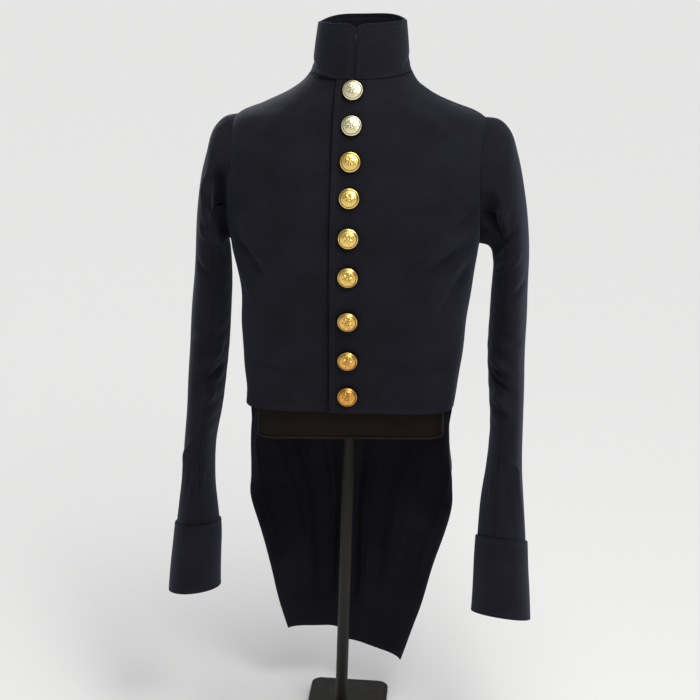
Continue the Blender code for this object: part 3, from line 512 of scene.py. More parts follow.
# Creases of the fronts, seen from the front: x and z of both ends, width and height in metres
FRONT_CREASES = (
    # from the wearer's left armhole across the chest
    ((0.156, 0.765), (0.066, 0.708), 0.0090, 0.0024), ((0.158, 0.746), (0.076, 0.690), 0.0080, -0.0022),
    ((0.156, 0.734), (0.084, 0.664), 0.0085, 0.0022), ((0.158, 0.722), (0.108, 0.640), 0.0080, -0.0016),
    ((0.160, 0.802), (0.112, 0.770), 0.0080, 0.0014), ((0.159, 0.786), (0.120, 0.750), 0.0070, -0.0014),
    # from the right armhole
    ((-0.160, 0.768), (-0.085, 0.716), 0.0090, 0.0020), ((-0.160, 0.748), (-0.098, 0.678), 0.0080, -0.0020),
    ((-0.158, 0.730), (-0.118, 0.640), 0.0090, 0.0014),
    # across the waist
    ((-0.130, 0.598), (-0.030, 0.585), 0.0075, 0.0014), ((-0.136, 0.576), (-0.045, 0.560), 0.0070, -0.0014),
    ((0.040, 0.590), (0.134, 0.604), 0.0080, 0.0014), ((0.050, 0.566), (0.134, 0.575), 0.0070, -0.0012),
    # up from the hem, beside the buttons
    ((-0.060, 0.512), (-0.072, 0.570), 0.0090, 0.0012), ((0.064, 0.512), (0.074, 0.575), 0.0100, 0.0012),
    # shoulders, from the collar outwards
    ((0.070, 0.915), (0.140, 0.860), 0.0120, 0.0010), ((-0.070, 0.912), (-0.138, 0.858), 0.0120, 0.0010),
)
# Pull lines from each button towards the lap's edge and the far side
BUTTON_HEIGHTS = (0.9284, 0.8856, 0.8428, 0.7995, 0.7507, 0.7004, 0.6414, 0.5881, 0.5377)
BUTTON_PULLS = (0.0002, 0.0004, 0.0003, 0.0005, 0.0004, 0.0006, 0.0007, 0.0008, 0.0006)
# Creases of the sides and the back, by direction from the front in radians (either hand) instead of x
REAR_CREASES = (
    ((1.62, 0.716), (2.30, 0.640), 0.110, 0.0020), ((1.60, 0.690), (2.10, 0.600), 0.090, -0.0016),
    ((1.75, 0.600), (2.70, 0.570), 0.0700, 0.0014), ((1.60, 0.560), (2.60, 0.545), 0.060, -0.0012),
    ((2.05, 0.830), (2.60, 0.770), 0.100, 0.0016), ((2.20, 0.770), (2.75, 0.700), 0.090, -0.0014),
)


def body_relief(point, turn, facing_left):
    """How far the folds lift the body's cloth, in metres: on the front half the creases of a flat view from the
    front, on the rear half those by direction, each faded out towards the other half, and the buttons' pulls."""
    x, z = point[..., 0], point[..., 2]
    front = np.clip(np.cos(turn) / 0.25, 0.0, 1.0)
    lift = sum(ridge(x, z, *crease) for crease in FRONT_CREASES) * front
    aside = x - closing_line(z)
    for height, pull in zip(BUTTON_HEIGHTS, BUTTON_PULLS):
        dip = np.exp(-(aside / 0.018) ** 2 - ((z - height) / 0.010) ** 2)
        drag = np.exp(-((np.abs(aside) - 0.030) / 0.022) ** 2 - ((z - height) / 0.007) ** 2)
        lift += front * facing_left * (drag * pull - dip * 0.0004)
    lift += front * facing_left * LAP_LIFT * np.exp(-((aside - LAP_EDGE) / LAP_LIFT_WIDTH) ** 2)
    hand = np.where(np.sin(turn) >= 0.0, 1.0, 0.9)
    direction = np.abs(turn)
    shift = np.where(np.sin(turn) >= 0.0, 0.0, 0.012)
    rear = np.clip(-np.cos(turn) / 0.25, 0.0, 1.0)
    for start, end, width, height in REAR_CREASES:
        reach = 0.12
        lift += rear * hand * ridge(direction * reach, z + shift, (start[0] * reach, start[1]),
                                    (end[0] * reach, end[1]), width * reach, height)
    slow = (0.0006 * np.sin(31.0 * x + 47.0 * z) * np.sin(39.0 * z - 23.0 * x + 1.3)
            + 0.0004 * np.sin(83.0 * x - 61.0 * z + 0.7))
    return lift + slow


EDGE_STEPS = np.array((0.0, 0.0002, 0.0006, 0.0013, 0.0026, 0.0045))


def edged(length, count):
    """Shares from 0 to 1 along lengths in metres: close to both ends at EDGE_STEPS, and count even steps between."""
    near = EDGE_STEPS / np.asarray(length, float)[..., None]
    near = near * np.minimum(1.0, 0.3 / near[..., -1:])
    low, high = near[..., -1:], 1.0 - near[..., -1:]
    middle = low + (high - low) * np.linspace(0.0, 1.0, count + 2)[1:-1]
    return np.concatenate((near, middle, 1.0 - near[..., ::-1]), axis=-1)


def half_thickness(distance, thickness, radius):
    """Half a cloth's thickness by distance from its edge: a quarter of an ellipse of that radius, then level."""
    return thickness / 2.0 * np.sqrt(np.maximum(1.0 - (1.0 - np.clip(distance / radius, 0.0, 1.0)) ** 2, 0.0))


def shell(name, outer, normal, thickness, material, closed=False, radius=0.0006, sewn=""):
    """A sheet of cloth as a closed shell with rounded edges.

    Its middle lies half the thickness under the outer grid. Both faces stand off it by half_thickness of the
    distance to the nearest edge, measured along the grid, so that they meet in the edge, where the two grids
    share their points. A closed grid has edges on its first and last rows only. The letters in sewn name the edges
    with topstitching (first row f, last row l, first column s, end column e): Edge keeps the distance to the nearest
    of them, and Run how far along it a point is.
    """
    rows, columns = outer.shape[:2]
    middle = outer - normal * thickness / 2.0
    down = np.linalg.norm(np.diff(middle, axis=0), axis=-1)
    from_top = np.concatenate((np.zeros((1, columns)), np.cumsum(down, axis=0)))
    distance = np.minimum(from_top, from_top[-1] - from_top)
    over = np.linalg.norm(np.diff(middle, axis=1), axis=-1)
    from_left = np.concatenate((np.zeros((rows, 1)), np.cumsum(over, axis=1)), axis=1)
    if not closed:
        distance = np.minimum(distance, np.minimum(from_left, from_left[:, -1:] - from_left))
    edge_distance, run = np.ones((rows, columns)), from_left
    for letter, reach, along in (("f", from_top, from_left), ("l", from_top[-1] - from_top, from_left),
                                 ("s", from_left, from_top), ("e", from_left[:, -1:] - from_left, from_top)):
        if letter in sewn:
            run = np.where(reach < edge_distance, along, run)
            edge_distance = np.minimum(edge_distance, reach)
    half = half_thickness(distance, thickness, radius)[..., None]
    points = np.concatenate(((middle + normal * half).reshape(-1, 3), (middle - normal * half).reshape(-1, 3)))
    number = np.arange(rows * columns).reshape(rows, columns)
    under = number + rows * columns
    edge = np.zeros((rows, columns), bool)
    edge[[0, -1]] = True
    if not closed:
        edge[:, [0, -1]] = True
    under[edge] = number[edge]
    i, j = np.meshgrid(np.arange(rows - 1), np.arange(columns if closed else columns - 1), indexing="ij")
    after = (j + 1) % columns
    top = np.stack([number[a, b] for a, b in ((i, j), (i, after), (i + 1, after), (i + 1, j))], -1).reshape(-1, 4)
    low = np.stack([under[a, b] for a, b in ((i, j), (i + 1, j), (i + 1, after), (i, after))], -1).reshape(-1, 4)
    i, j = rows // 2, columns // 2
    facing = np.cross(outer[i, j + 1] - outer[i, j], outer[i + 1, j] - outer[i, j])
    faces = np.concatenate((top, low))
    if np.dot(facing, normal[i, j]) < 0.0:
        faces = faces[:, ::-1]
    used, place = np.unique(faces, return_inverse=True)
    made = thing(name, points[used], place.reshape(faces.shape).tolist(), material)
    for label, values in (("Edge", edge_distance), ("Run", run)):
        values = np.tile(values.reshape(-1), 2)[used].astype(np.float32)
        made.data.attributes.new(label, "FLOAT", "POINT").data.foreach_set("value", values)
    return made


def line_places(line, count):
    """Places along a line of points (a function of place from 0 to its second value), with rows close to both ends:
    shares of its length by edged, read back through the running length."""
    point, last = line
    sample = np.linspace(0.0, last, 240)
    run = np.concatenate(([0.0], np.cumsum(np.linalg.norm(np.diff(point(sample), axis=0), axis=-1))))
    return np.interp(edged(run[-1], count) * run[-1], run, sample)


def armhole_turn(place, rear):
    """Direction in which the armhole's edge, an ellipse in the side view, meets a ring."""
    row = between_rows(BODY_RINGS, place)
    across = np.clip(1.0 - ((row[..., 1] - ARMHOLE_MIDDLE) / ARMHOLE_HALF_HEIGHT) ** 2, 0.0, 1.0)
    y = ARMHOLE_HALF_DEPTH * np.sqrt(across)
    depth = row[..., 5] if rear else row[..., 4]
    x = row[..., 3] * (1.0 - (y / depth) ** row[..., 6]) ** (1.0 / row[..., 6])
    return math.pi - np.arctan2(x, y) if rear else np.arctan2(x, y)


def armhole_fade(point):
    """0 at the armhole's edge, rising smoothly to 1 a little way outside it."""
    around = np.hypot((point[..., 2] - ARMHOLE_MIDDLE) / ARMHOLE_HALF_HEIGHT, point[..., 1] / ARMHOLE_HALF_DEPTH)
    share = np.clip((around - 1.0) / 0.22, 0.0, 1.0)
    share = np.where(np.abs(point[..., 0]) < 0.08, 1.0, share)
    return share * share * (3.0 - 2.0 * share)


def armhole_fill(place, y):
    """How far the cloth bridges the hollow beside the armhole, forward at its front and backward at its rear: most
    at the armhole's own edge, by the squared sine of the turn round it, and gone a little way outside it."""
    across = (between_rows(BODY_RINGS, place)[..., 1] - ARMHOLE_MIDDLE) / ARMHOLE_HALF_HEIGHT
    around = np.hypot(across, y / ARMHOLE_HALF_DEPTH)
    share = np.clip(1.0 - (around - 1.0) / ARMHOLE_FILL_REACH, 0.0, 1.0)
    return np.sign(y) * ARMHOLE_FILL * np.maximum(1.0 - across**2, 0.0) * share * share * (3.0 - 2.0 * share)


def body_places(last):
    """Ring places of a body panel: close rows at both ends, even rows between, and in the armhole's height rows at
    even turns of its ellipse."""
    line = (lambda place: body_surface(place, np.full_like(place, 0.9)), last)
    places = line_places(line, 132 if last > 10.0 else 70)
    turn = np.radians(np.arange(3.0, 178.0, 4.0))
    height = ARMHOLE_MIDDLE - ARMHOLE_HALF_HEIGHT * np.cos(turn)
    extra = np.interp(height, BODY_RINGS[:, 1], np.arange(len(BODY_RINGS)))
    places = np.concatenate((places, extra[extra < last - 0.05]))
    places = np.unique(np.round(places, 4))
    return places[np.concatenate(([True], np.diff(places) > 0.004))] if last > 10.0 else places


def trim(places, turn, towards):
    """A seam's direction moved by half the seam's gap, towards larger or smaller turns."""
    row = between_rows(BODY_RINGS, places)
    return turn + towards * 0.5 * SEAM_GAP / np.minimum(row[:, 3], row[:, 5])


def body_panel(name, places, start, stop, count, sink=None, facing_left=0.0, sewn=""):
    """A panel of the coat's body between two directions at each place: the plain surface, sunk under the lap where
    one is given, lifted along its normals by the folds, which fade out at the armhole and the neck seam."""
    chord = np.linalg.norm(body_surface(places, stop) - body_surface(places, start), axis=-1)
    width = np.maximum(chord, 0.5 * np.abs(stop - start) * between_rows(BODY_RINGS, places)[:, 5])
    turn = start[:, None] + (stop - start)[:, None] * edged(np.maximum(width, 0.001), count)
    place = np.repeat(places[:, None], turn.shape[1], axis=1)
    plain = body_surface(place, turn)
    normal = normals(body_surface, np.clip(place, 1e-3, NECK_RING - 1e-3), turn)
    share = np.clip(place / 0.35, 0.0, 1.0)
    normal[..., 2] *= share
    normal /= np.linalg.norm(normal, axis=-1, keepdims=True)
    lift = body_relief(plain, turn, facing_left) * armhole_fade(plain) * np.clip((NECK_RING - place) / 1.2, 0.0, 1.0)
    if sink is not None:
        lift = lift - sink(plain)
    outer = plain + normal * lift[..., None]
    beside = np.abs(plain[..., 0]) > 0.09
    outer[..., 1] += np.where(beside, armhole_fill(place, plain[..., 1]), 0.0)
    return shell(name, outer, normal, CLOTH, WOOL, sewn=sewn)


def under_the_lap(point):
    """The right front's drop below the left one: a smooth step across LAP_BLEND, LAP_CLEAR beyond the lap's edge."""
    edge = closing_line(point[..., 2]) + LAP_EDGE
    share = np.clip((point[..., 0] - edge + LAP_CLEAR + LAP_BLEND) / LAP_BLEND, 0.0, 1.0)
    return (CLOTH + LAP_GAP) * share * share * (3.0 - 2.0 * share)


places = body_places(NECK_RING)
row = between_rows(BODY_RINGS, places)
armhole = (places > ARMHOLE_LOW) & (places < ARMHOLE_HIGH + 0.05)
side = np.full(len(places), SIDE_SEAM)
front_edge = np.where(armhole, armhole_turn(places, False), trim(places, side, -1.0))
rear_edge = np.where(armhole, armhole_turn(places, True), trim(places, side, 1.0))
closing = closing_line(row[:, 0]) - row[:, 7]
lap = np.arctan2(closing + LAP_EDGE, row[:, 4])
underlap = np.arctan2(closing + UNDERLAP_EDGE, row[:, 4])
side_top = armhole_turn(np.array([SIDE_BODY_TOP]), True)[0]


def side_seam(at):
    """The seam between the side body and the back: from the waist's direction to the armhole's, by a power of the
    share of the height."""
    return BACK_SEAM_WAIST + (side_top - BACK_SEAM_WAIST) * (np.clip(at, 0.0, SIDE_BODY_TOP) / SIDE_BODY_TOP) ** 1.6


below = places < SIDE_BODY_TOP
back_start = np.where(below, trim(places, side_seam(places), 1.0), rear_edge)
centre_edge = trim(places, np.full(len(places), math.pi), -1.0)
side_places = places[places < SIDE_BODY_TOP - 0.03]
side_front = rear_edge[: len(side_places)]
side_back = trim(side_places, side_seam(side_places), -1.0)

front_left = body_panel("Left_front", places, lap, front_edge, 84, facing_left=1.0, sewn="fs")
front_right = body_panel("Right_front", places, underlap, -front_edge, 84, sink=under_the_lap, sewn="f")
side_left = body_panel("Left_side_body", side_places, side_front, side_back, 44)
side_right = body_panel("Right_side_body", side_places, -side_front, -side_back, 44)
back_left = body_panel("Left_back", places, back_start, centre_edge, 44)
back_right = body_panel("Right_back", places, -back_start, -centre_edge, 44)
for piece, node, flat, area in ((front_left, "front_left", (0.245, 0.470), 0.103),
                                (front_right, "front_right", (0.245, 0.470), 0.101),
                                (side_left, "side_body_left", (0.125, 0.250), 0.0277),
                                (side_right, "side_body_right", (0.125, 0.250), 0.0270),
                                (back_left, "back_left", (0.170, 0.470), 0.064),
                                (back_right, "back_right", (0.170, 0.470), 0.064)):
    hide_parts(node)
    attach(piece, "root")

# ------------------------------------------------------------------------------------------------------------------
# Collar: the high standing collar in two halves, thicker wool stiffened with canvas, seamed to the neck and closed
# edge to edge at the front with a hook that doesn't show. Its top edge is cut straight and turned.
# ------------------------------------------------------------------------------------------------------------------

COLLAR_WALL = 0.0030
COLLAR_HEIGHT, COLLAR_REACH = 0.068, 0.065
COLLAR_FRONT_GAP = 0.0004
COLLAR_FRONT_TURN = -0.055
COLLAR_CORNER = 0.006
COLLAR_BACK_LAP = 0.0004
COLLAR_LEVEL = 0.0028
COLLAR_RINGS = np.array((
    # rise_front, rise_back, half_width, front, back
    (0.0000, 0.0000, 0.0657, 0.0705, 0.0600),
    (0.0060, 0.0050, 0.0634, 0.0680, 0.0590),
    (0.0200, 0.0180, 0.0618, 0.0655, 0.0580),
    (0.0420, 0.0380, 0.0597, 0.0635, 0.0575),
    (0.0680, 0.0590, 0.0568, 0.0625, 0.0575),
))
# Creases round the collar: direction from the front in radians times COLLAR_REACH, and rise above the seam
COLLAR_CREASES = (
    ((0.030, 0.006), (0.110, 0.012), 0.0040, 0.0012), ((-0.024, 0.008), (-0.090, 0.014), 0.0045, 0.0010),
    ((0.060, 0.020), (0.120, 0.034), 0.0060, -0.0010), ((-0.060, 0.024), (-0.130, 0.030), 0.0060, -0.0008),
    ((0.130, 0.012), (0.200, 0.018), 0.0060, 0.0010), ((-0.140, 0.010), (-0.200, 0.020), 0.0060, 0.0010),
)


def collar_surface(place, turn):
    """The collar's outside: superellipses of the table's size, standing on the neck seam by a rise that runs from
    the back's to the front's with the cosine of turn."""
    rise_front, rise_back, half_width, front, back = np.moveaxis(between_rows(COLLAR_RINGS, place), -1, 0)
    seam = body_surface(np.full_like(turn, NECK_RING), turn)
    facing = np.cos(turn)
    radius = ring_radius(half_width, np.where(facing >= 0, front, back), BODY_RINGS[-1, 6], turn)
    rise = rise_back + (rise_front - rise_back) * (1.0 + facing) / 2.0
    return np.stack((radius * np.sin(turn), -radius * facing, seam[..., 2] + rise + SEAM_GAP), axis=-1)


def collar_half(name, hand):
    """One half of the collar: its surface, the front corner cut down a little by a square law, the top
    raised a little between the side and the back by the squared sine of twice the turn, and its creases."""
    last = len(COLLAR_RINGS) - 1.0
    line = (lambda place: collar_surface(place, np.full_like(place, 0.8)), last)
    places = line_places(line, 26)
    start = COLLAR_FRONT_GAP / COLLAR_RINGS[0, 3] + hand * COLLAR_FRONT_TURN
    stop = math.pi + COLLAR_BACK_LAP / COLLAR_RINGS[0, 4]
    turn = start + (stop - start) * edged(np.array([0.200]), 84)[0]
    place, turn = np.meshgrid(places, hand * turn, indexing="ij")
    plain = collar_surface(place, turn)
    across = np.abs(turn - COLLAR_FRONT_TURN) * COLLAR_RINGS[-1, 3]
    corner = np.clip(1.0 - across / (2.0 * COLLAR_CORNER), 0.0, 1.0) ** 2
    plain[..., 2] -= COLLAR_CORNER * corner * (plain[..., 1] < 0.0) * (place / last) ** 4
    rear = np.clip(-np.cos(turn), 0.0, 1.0) * np.abs(np.sin(turn)) * 2.0
    plain[..., 2] += COLLAR_LEVEL * rear**2 * (place / last) ** 2
    normal = normals(collar_surface, np.clip(place, 1e-3, last - 1e-3), turn)
    normal[..., 2] = 0.0
    normal /= np.linalg.norm(normal, axis=-1, keepdims=True)
    rise = COLLAR_HEIGHT * place / last
    lift = sum(ridge(turn * COLLAR_REACH, rise, *crease) for crease in COLLAR_CREASES)
    from_front = np.clip(np.abs(turn - COLLAR_FRONT_TURN) / 0.15, 0.0, 1.0)
    from_back = np.clip((math.pi - np.abs(turn)) / 0.2, 0.0, 1.0)
    lift = lift * from_front * from_back
    plain = plain + normal * lift[..., None]
    return shell(name, plain, normal, COLLAR_WALL, WOOL, sewn="ls")


collar_left = collar_half("Left_collar", 1.0)
collar_right = collar_half("Right_collar", -1.0)
for piece, node in ((collar_left, "collar_left"), (collar_right, "collar_right")):
    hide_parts(node)
    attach(piece, "root")

# ------------------------------------------------------------------------------------------------------------------
# Sleeves: each a top and an under sleeve of the same wool, set into the armhole with a little fullness over the
# shoulder, hanging empty, bent forward at the elbow. The cloth buckles at the armpit, the elbow and the forearm.
# ------------------------------------------------------------------------------------------------------------------

LEFT_SLEEVE = np.array((
    # outer_x, outer_z, inner_x, inner_z, middle_y, half_depth, lean
    (0.1820, 0.8860, 0.1725, 0.7225, 0.000, 0.0640, 0.0),
    (0.1985, 0.8700, 0.1760, 0.7210, 0.000, 0.0660, 0.0),
    (0.2080, 0.8430, 0.1780, 0.7190, 0.000, 0.0680, 0.0),
    (0.2170, 0.8060, 0.1800, 0.7160, 0.000, 0.0690, 0.0),
    (0.2255, 0.7620, 0.1820, 0.7070, 0.001, 0.0690, 0.0),
    (0.2305, 0.7050, 0.1842, 0.6880, 0.003, 0.0680, 0.0),
    (0.2322, 0.6450, 0.1828, 0.6380, 0.006, 0.0660, 0.0),
    (0.2332, 0.5900, 0.1830, 0.5860, 0.003, 0.0625, 6.0),
    (0.2342, 0.5400, 0.1862, 0.5390, -0.012, 0.0580, 14.0),
    (0.2356, 0.4880, 0.1915, 0.4890, -0.037, 0.0540, 19.0),
    (0.2362, 0.4400, 0.1888, 0.4440, -0.060, 0.0505, 20.0),
    (0.2410, 0.3950, 0.1835, 0.3990, -0.083, 0.0485, 20.0),
    (0.2452, 0.3500, 0.1812, 0.3550, -0.105, 0.0490, 20.0),
    (0.2492, 0.3020, 0.1812, 0.3090, -0.124, 0.0505, 20.0),
    (0.2526, 0.2545, 0.1805, 0.2628, -0.141, 0.0525, 20.0),
))
RIGHT_SLEEVE = np.array((
    (0.1770, 0.8830, 0.1690, 0.7230, 0.000, 0.0640, 0.0),
    (0.1912, 0.8680, 0.1715, 0.7220, 0.000, 0.0660, 0.0),
    (0.1978, 0.8420, 0.1730, 0.7200, 0.000, 0.0680, 0.0),
    (0.2052, 0.8080, 0.1732, 0.7170, 0.000, 0.0690, 0.0),
    (0.2105, 0.7660, 0.1722, 0.7090, 0.001, 0.0690, 0.0),
    (0.2128, 0.7100, 0.1698, 0.6920, 0.003, 0.0680, 0.0),
    (0.2175, 0.6500, 0.1680, 0.6430, 0.006, 0.0660, 0.0),
    (0.2210, 0.5950, 0.1700, 0.5910, 0.006, 0.0625, 3.0),
    (0.2228, 0.5400, 0.1725, 0.5380, 0.002, 0.0585, 7.0),
    (0.2243, 0.4850, 0.1778, 0.4840, -0.006, 0.0545, 9.0),
    (0.2262, 0.4300, 0.1850, 0.4300, -0.014, 0.0510, 10.0),
    (0.2282, 0.3780, 0.1842, 0.3820, -0.024, 0.0490, 11.0),
    (0.2336, 0.3210, 0.1760, 0.3260, -0.035, 0.0490, 12.0),
    (0.2362, 0.2735, 0.1745, 0.2805, -0.044, 0.0505, 12.0),
    (0.2382, 0.2270, 0.1742, 0.2350, -0.052, 0.0525, 12.0),
))
SLEEVE_RISE = (0.000, 0.020, 0.020, 0.020, 0.020, 0.020, 0.020, 0.020)
UNDER_HALF_TURN = 68.0
SLEEVE_SEAM_RADIUS = 0.030
CUFF_START, CUFF_GAP = 13.0, 0.0004
# Creases of a sleeve laid flat: (turn in radians times 0.055 m, height), both ends, width and depth in metres. Turn
# is 0 at the arm's inside, a quarter at its front, a half at its outside.
LEFT_CREASES = (
    # the upright hollow beside the armhole, and folds from the armpit up and out over the front
    ((0.072, 0.845), (0.058, 0.735), 0.0070, -0.0060), ((0.090, 0.840), (0.078, 0.740), 0.0080, 0.0026),
    ((0.020, 0.735), (0.110, 0.800), 0.0090, 0.0030), ((0.015, 0.715), (0.120, 0.765), 0.0080, -0.0028),
    ((0.010, 0.690), (0.125, 0.730), 0.0090, 0.0024), ((0.060, 0.660), (0.150, 0.690), 0.0080, -0.0018),
    # elbow
    ((0.020, 0.590), (0.110, 0.560), 0.0080, 0.0026), ((0.010, 0.562), (0.120, 0.538), 0.0070, -0.0026),
    ((0.030, 0.540), (0.105, 0.512), 0.0080, 0.0024), ((0.055, 0.615), (0.140, 0.600), 0.0080, -0.0014),
    # forearm, down towards the cuff
    ((0.060, 0.480), (0.150, 0.430), 0.0100, 0.0014), ((0.085, 0.450), (0.120, 0.360), 0.0090, -0.0012),
    ((0.110, 0.470), (0.160, 0.350), 0.0110, 0.0010), ((0.040, 0.440), (0.080, 0.370), 0.0080, 0.0010),
    # behind
    ((0.200, 0.790), (0.300, 0.720), 0.0100, 0.0024), ((0.210, 0.745), (0.310, 0.690), 0.0090, -0.0022),
    ((0.200, 0.600), (0.290, 0.570), 0.0090, 0.0022), ((0.195, 0.560), (0.280, 0.535), 0.0080, -0.0020),
    ((0.220, 0.480), (0.260, 0.370), 0.0090, 0.0016),
)
RIGHT_CREASES = (
    ((0.108, 0.832), (0.050, 0.750), 0.0075, -0.0080), ((0.124, 0.822), (0.072, 0.730), 0.0080, 0.0036),
    ((0.018, 0.745), (0.095, 0.815), 0.0085, 0.0016), ((0.012, 0.728), (0.110, 0.785), 0.0075, -0.0024),
    ((0.010, 0.700), (0.120, 0.750), 0.0090, 0.0028), ((0.045, 0.665), (0.140, 0.705), 0.0080, -0.0018),
    ((0.015, 0.575), (0.105, 0.548), 0.0080, 0.0022), ((0.012, 0.548), (0.115, 0.520), 0.0075, -0.0022),
    ((0.030, 0.520), (0.100, 0.494), 0.0080, 0.0020), ((0.060, 0.610), (0.150, 0.588), 0.0080, -0.0012),
    ((0.065, 0.470), (0.145, 0.410), 0.0100, 0.0014), ((0.090, 0.430), (0.125, 0.330), 0.0095, -0.0012),
    ((0.120, 0.450), (0.155, 0.320), 0.0110, 0.0009), ((0.045, 0.420), (0.075, 0.340), 0.0080, 0.0010),
    ((0.205, 0.780), (0.305, 0.730), 0.0100, 0.0022), ((0.210, 0.735), (0.300, 0.700), 0.0090, -0.0020),
    ((0.200, 0.580), (0.285, 0.556), 0.0090, 0.0020), ((0.200, 0.545), (0.275, 0.520), 0.0080, -0.0018),
    ((0.225, 0.460), (0.262, 0.350), 0.0090, 0.0016),
)
ELBOW_HEIGHT, ELBOW_SPREAD = 0.545, 0.085


def armhole_point(theta, hand):
    """The armhole's edge on the body, by turn round it from the armpit over the front to the shoulder."""
    z = ARMHOLE_MIDDLE - ARMHOLE_HALF_HEIGHT * np.cos(theta)
    y = -ARMHOLE_HALF_DEPTH * np.sin(theta)
    row = between_rows(BODY_RINGS, np.interp(z, BODY_RINGS[:, 1], np.arange(len(BODY_RINGS))))
    depth = np.where(y <= 0, row[..., 4], row[..., 5])
    x = hand * row[..., 3] * (1.0 - np.abs(y / depth) ** row[..., 6]) ** (1.0 / row[..., 6])
    x = x + row[..., 7]
    return np.stack((x, y, raised(x, z, LEFT_RISE, RIGHT_RISE)), axis=-1)


def sleeve_surface(table, hand):
    """A function of ring place and turn that gives a sleeve's outside: the armhole's edge, then the table's rings,
    each an ellipse between its outer and inner points, joined by Catmull-Rom curves along the sleeve."""
    def surface(place, theta):
        edge = armhole_point(theta, hand)
        inward = (np.array((0.0, 0.0, ARMHOLE_MIDDLE)) - edge) * np.array((0.0, 1.0, 1.0))
        inward /= np.linalg.norm(inward, axis=-1, keepdims=True)
        bridge = -ARMHOLE_FILL * np.sin(theta) * np.abs(np.sin(theta))
        rings = [edge + SEAM_GAP * inward + np.stack((0.0 * bridge, bridge, 0.0 * bridge), axis=-1)]
        outward = (1.0 - np.cos(theta)) / 2.0
        for outer_x, outer_z, inner_x, inner_z, middle_y, half_depth, lean in table:
            slant = math.radians(lean)
            x = hand * (inner_x + (outer_x - inner_x) * outward)
            z = inner_z + (outer_z - inner_z) * outward + half_depth * math.sin(slant) * np.sin(theta)
            y = middle_y - half_depth * math.cos(slant) * np.sin(theta)
            rings.append(np.stack((x, y, raised(x, z, SLEEVE_RISE, SLEEVE_RISE)), axis=-1))
        rings = np.stack(rings)
        last = len(rings) - 1
        place = np.clip(place, 0.0, last)
        start = np.minimum(np.floor(place).astype(int), last - 1)
        t = (place - start)[..., None]
        before, here, after, beyond = (np.take_along_axis(
            rings, np.clip(start + step, 0, last)[None, ..., None], axis=0)[0] for step in (-1, 0, 1, 2))
        slope_here, slope_after = (after - before) * 0.5, (beyond - here) * 0.5
        return ((2 * t**3 - 3 * t**2 + 1) * here + (t**3 - 2 * t**2 + t) * slope_here
                + (3 * t**2 - 2 * t**3) * after + (t**3 - t**2) * slope_after)
    return surface


def sleeve_relief(point, theta, place, creases):
    """How far a sleeve's cloth is lifted: its creases, on turns from 0 to a whole one, slow unevenness, short waves
    inside the elbow, and the fullness eased in round the shoulder; all fade out at the armhole and under the cuff."""
    around = np.mod(theta, 2.0 * math.pi) * 0.055
    z = point[..., 2]
    lift = sum(ridge(around, z, *crease) for crease in creases)
    lift += sum(ridge(around - 2.0 * math.pi * 0.055, z, *crease) for crease in creases)
    inside = np.clip(np.cos(theta - 0.9), 0.0, 1.0) ** 2
    lift += 0.0010 * inside * np.exp(-((z - ELBOW_HEIGHT) / ELBOW_SPREAD) ** 2) * np.sin(260.0 * z + 2.0 * theta)
    lift += 0.0006 * np.sin(37.0 * z + 2.0 * theta) * np.sin(3.0 * theta - 29.0 * z + 0.8)
    over = np.clip(-np.cos(theta), 0.0, 1.0)
    full = np.exp(-((place - 1.1) / 0.7) ** 2) * over
    lift = lift * np.clip(place / 1.2, 0.0, 1.0) * np.clip((CUFF_START - place) / 1.5, 0.0, 1.0)
    return lift + full * (0.0006 + 0.0003 * np.sin(26.0 * theta))


def sleeve_piece(name, table, hand, creases, start, stop, count, width):
    """One piece of a sleeve between two turns in degrees: its surface, lifted along its normals by the relief."""
    surface = sleeve_surface(table, hand)
    last = float(len(table))
    line = (lambda place: surface(place, np.full_like(place, math.radians((start + stop) / 2.0))), last)
    places = line_places(line, 200)
    half_gap = math.degrees(0.5 * SEAM_GAP / SLEEVE_SEAM_RADIUS)
    share = edged(np.array([width]), count)[0]
    turn = np.radians(start + half_gap + (stop - start - 2.0 * half_gap) * share)
    place, theta = np.meshgrid(places, turn, indexing="ij")
    plain = surface(place, theta)
    normal = normals(surface, np.clip(place, 1e-3, last - 1e-3), theta, -hand)
    lift = sleeve_relief(plain, theta, place, creases)
    return shell(name, plain + normal * lift[..., None], normal, CLOTH, WOOL)


for side_name, table, hand, creases in (("left", LEFT_SLEEVE, 1.0, LEFT_CREASES),
                                        ("right", RIGHT_SLEEVE, -1.0, RIGHT_CREASES)):
    for part_name, start, stop, count, width, flat, area in (
            ("top", UNDER_HALF_TURN, 360.0 - UNDER_HALF_TURN, 60, 0.165, (0.200, 0.700), 0.104),
            ("under", -UNDER_HALF_TURN, UNDER_HALF_TURN, 30, 0.090, (0.115, 0.620), 0.060)):
        piece = sleeve_piece(f"{side_name.capitalize()}_{part_name}_sleeve", table, hand, creases, start, stop,
                             count, width)
        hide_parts(f"{part_name}_sleeve_{side_name}")
        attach(piece, "root")

# ------------------------------------------------------------------------------------------------------------------
# Cuffs: deep plain round cuffs of the same wool, laid over the sleeves' ends and felled to them along the top edge.
# ------------------------------------------------------------------------------------------------------------------


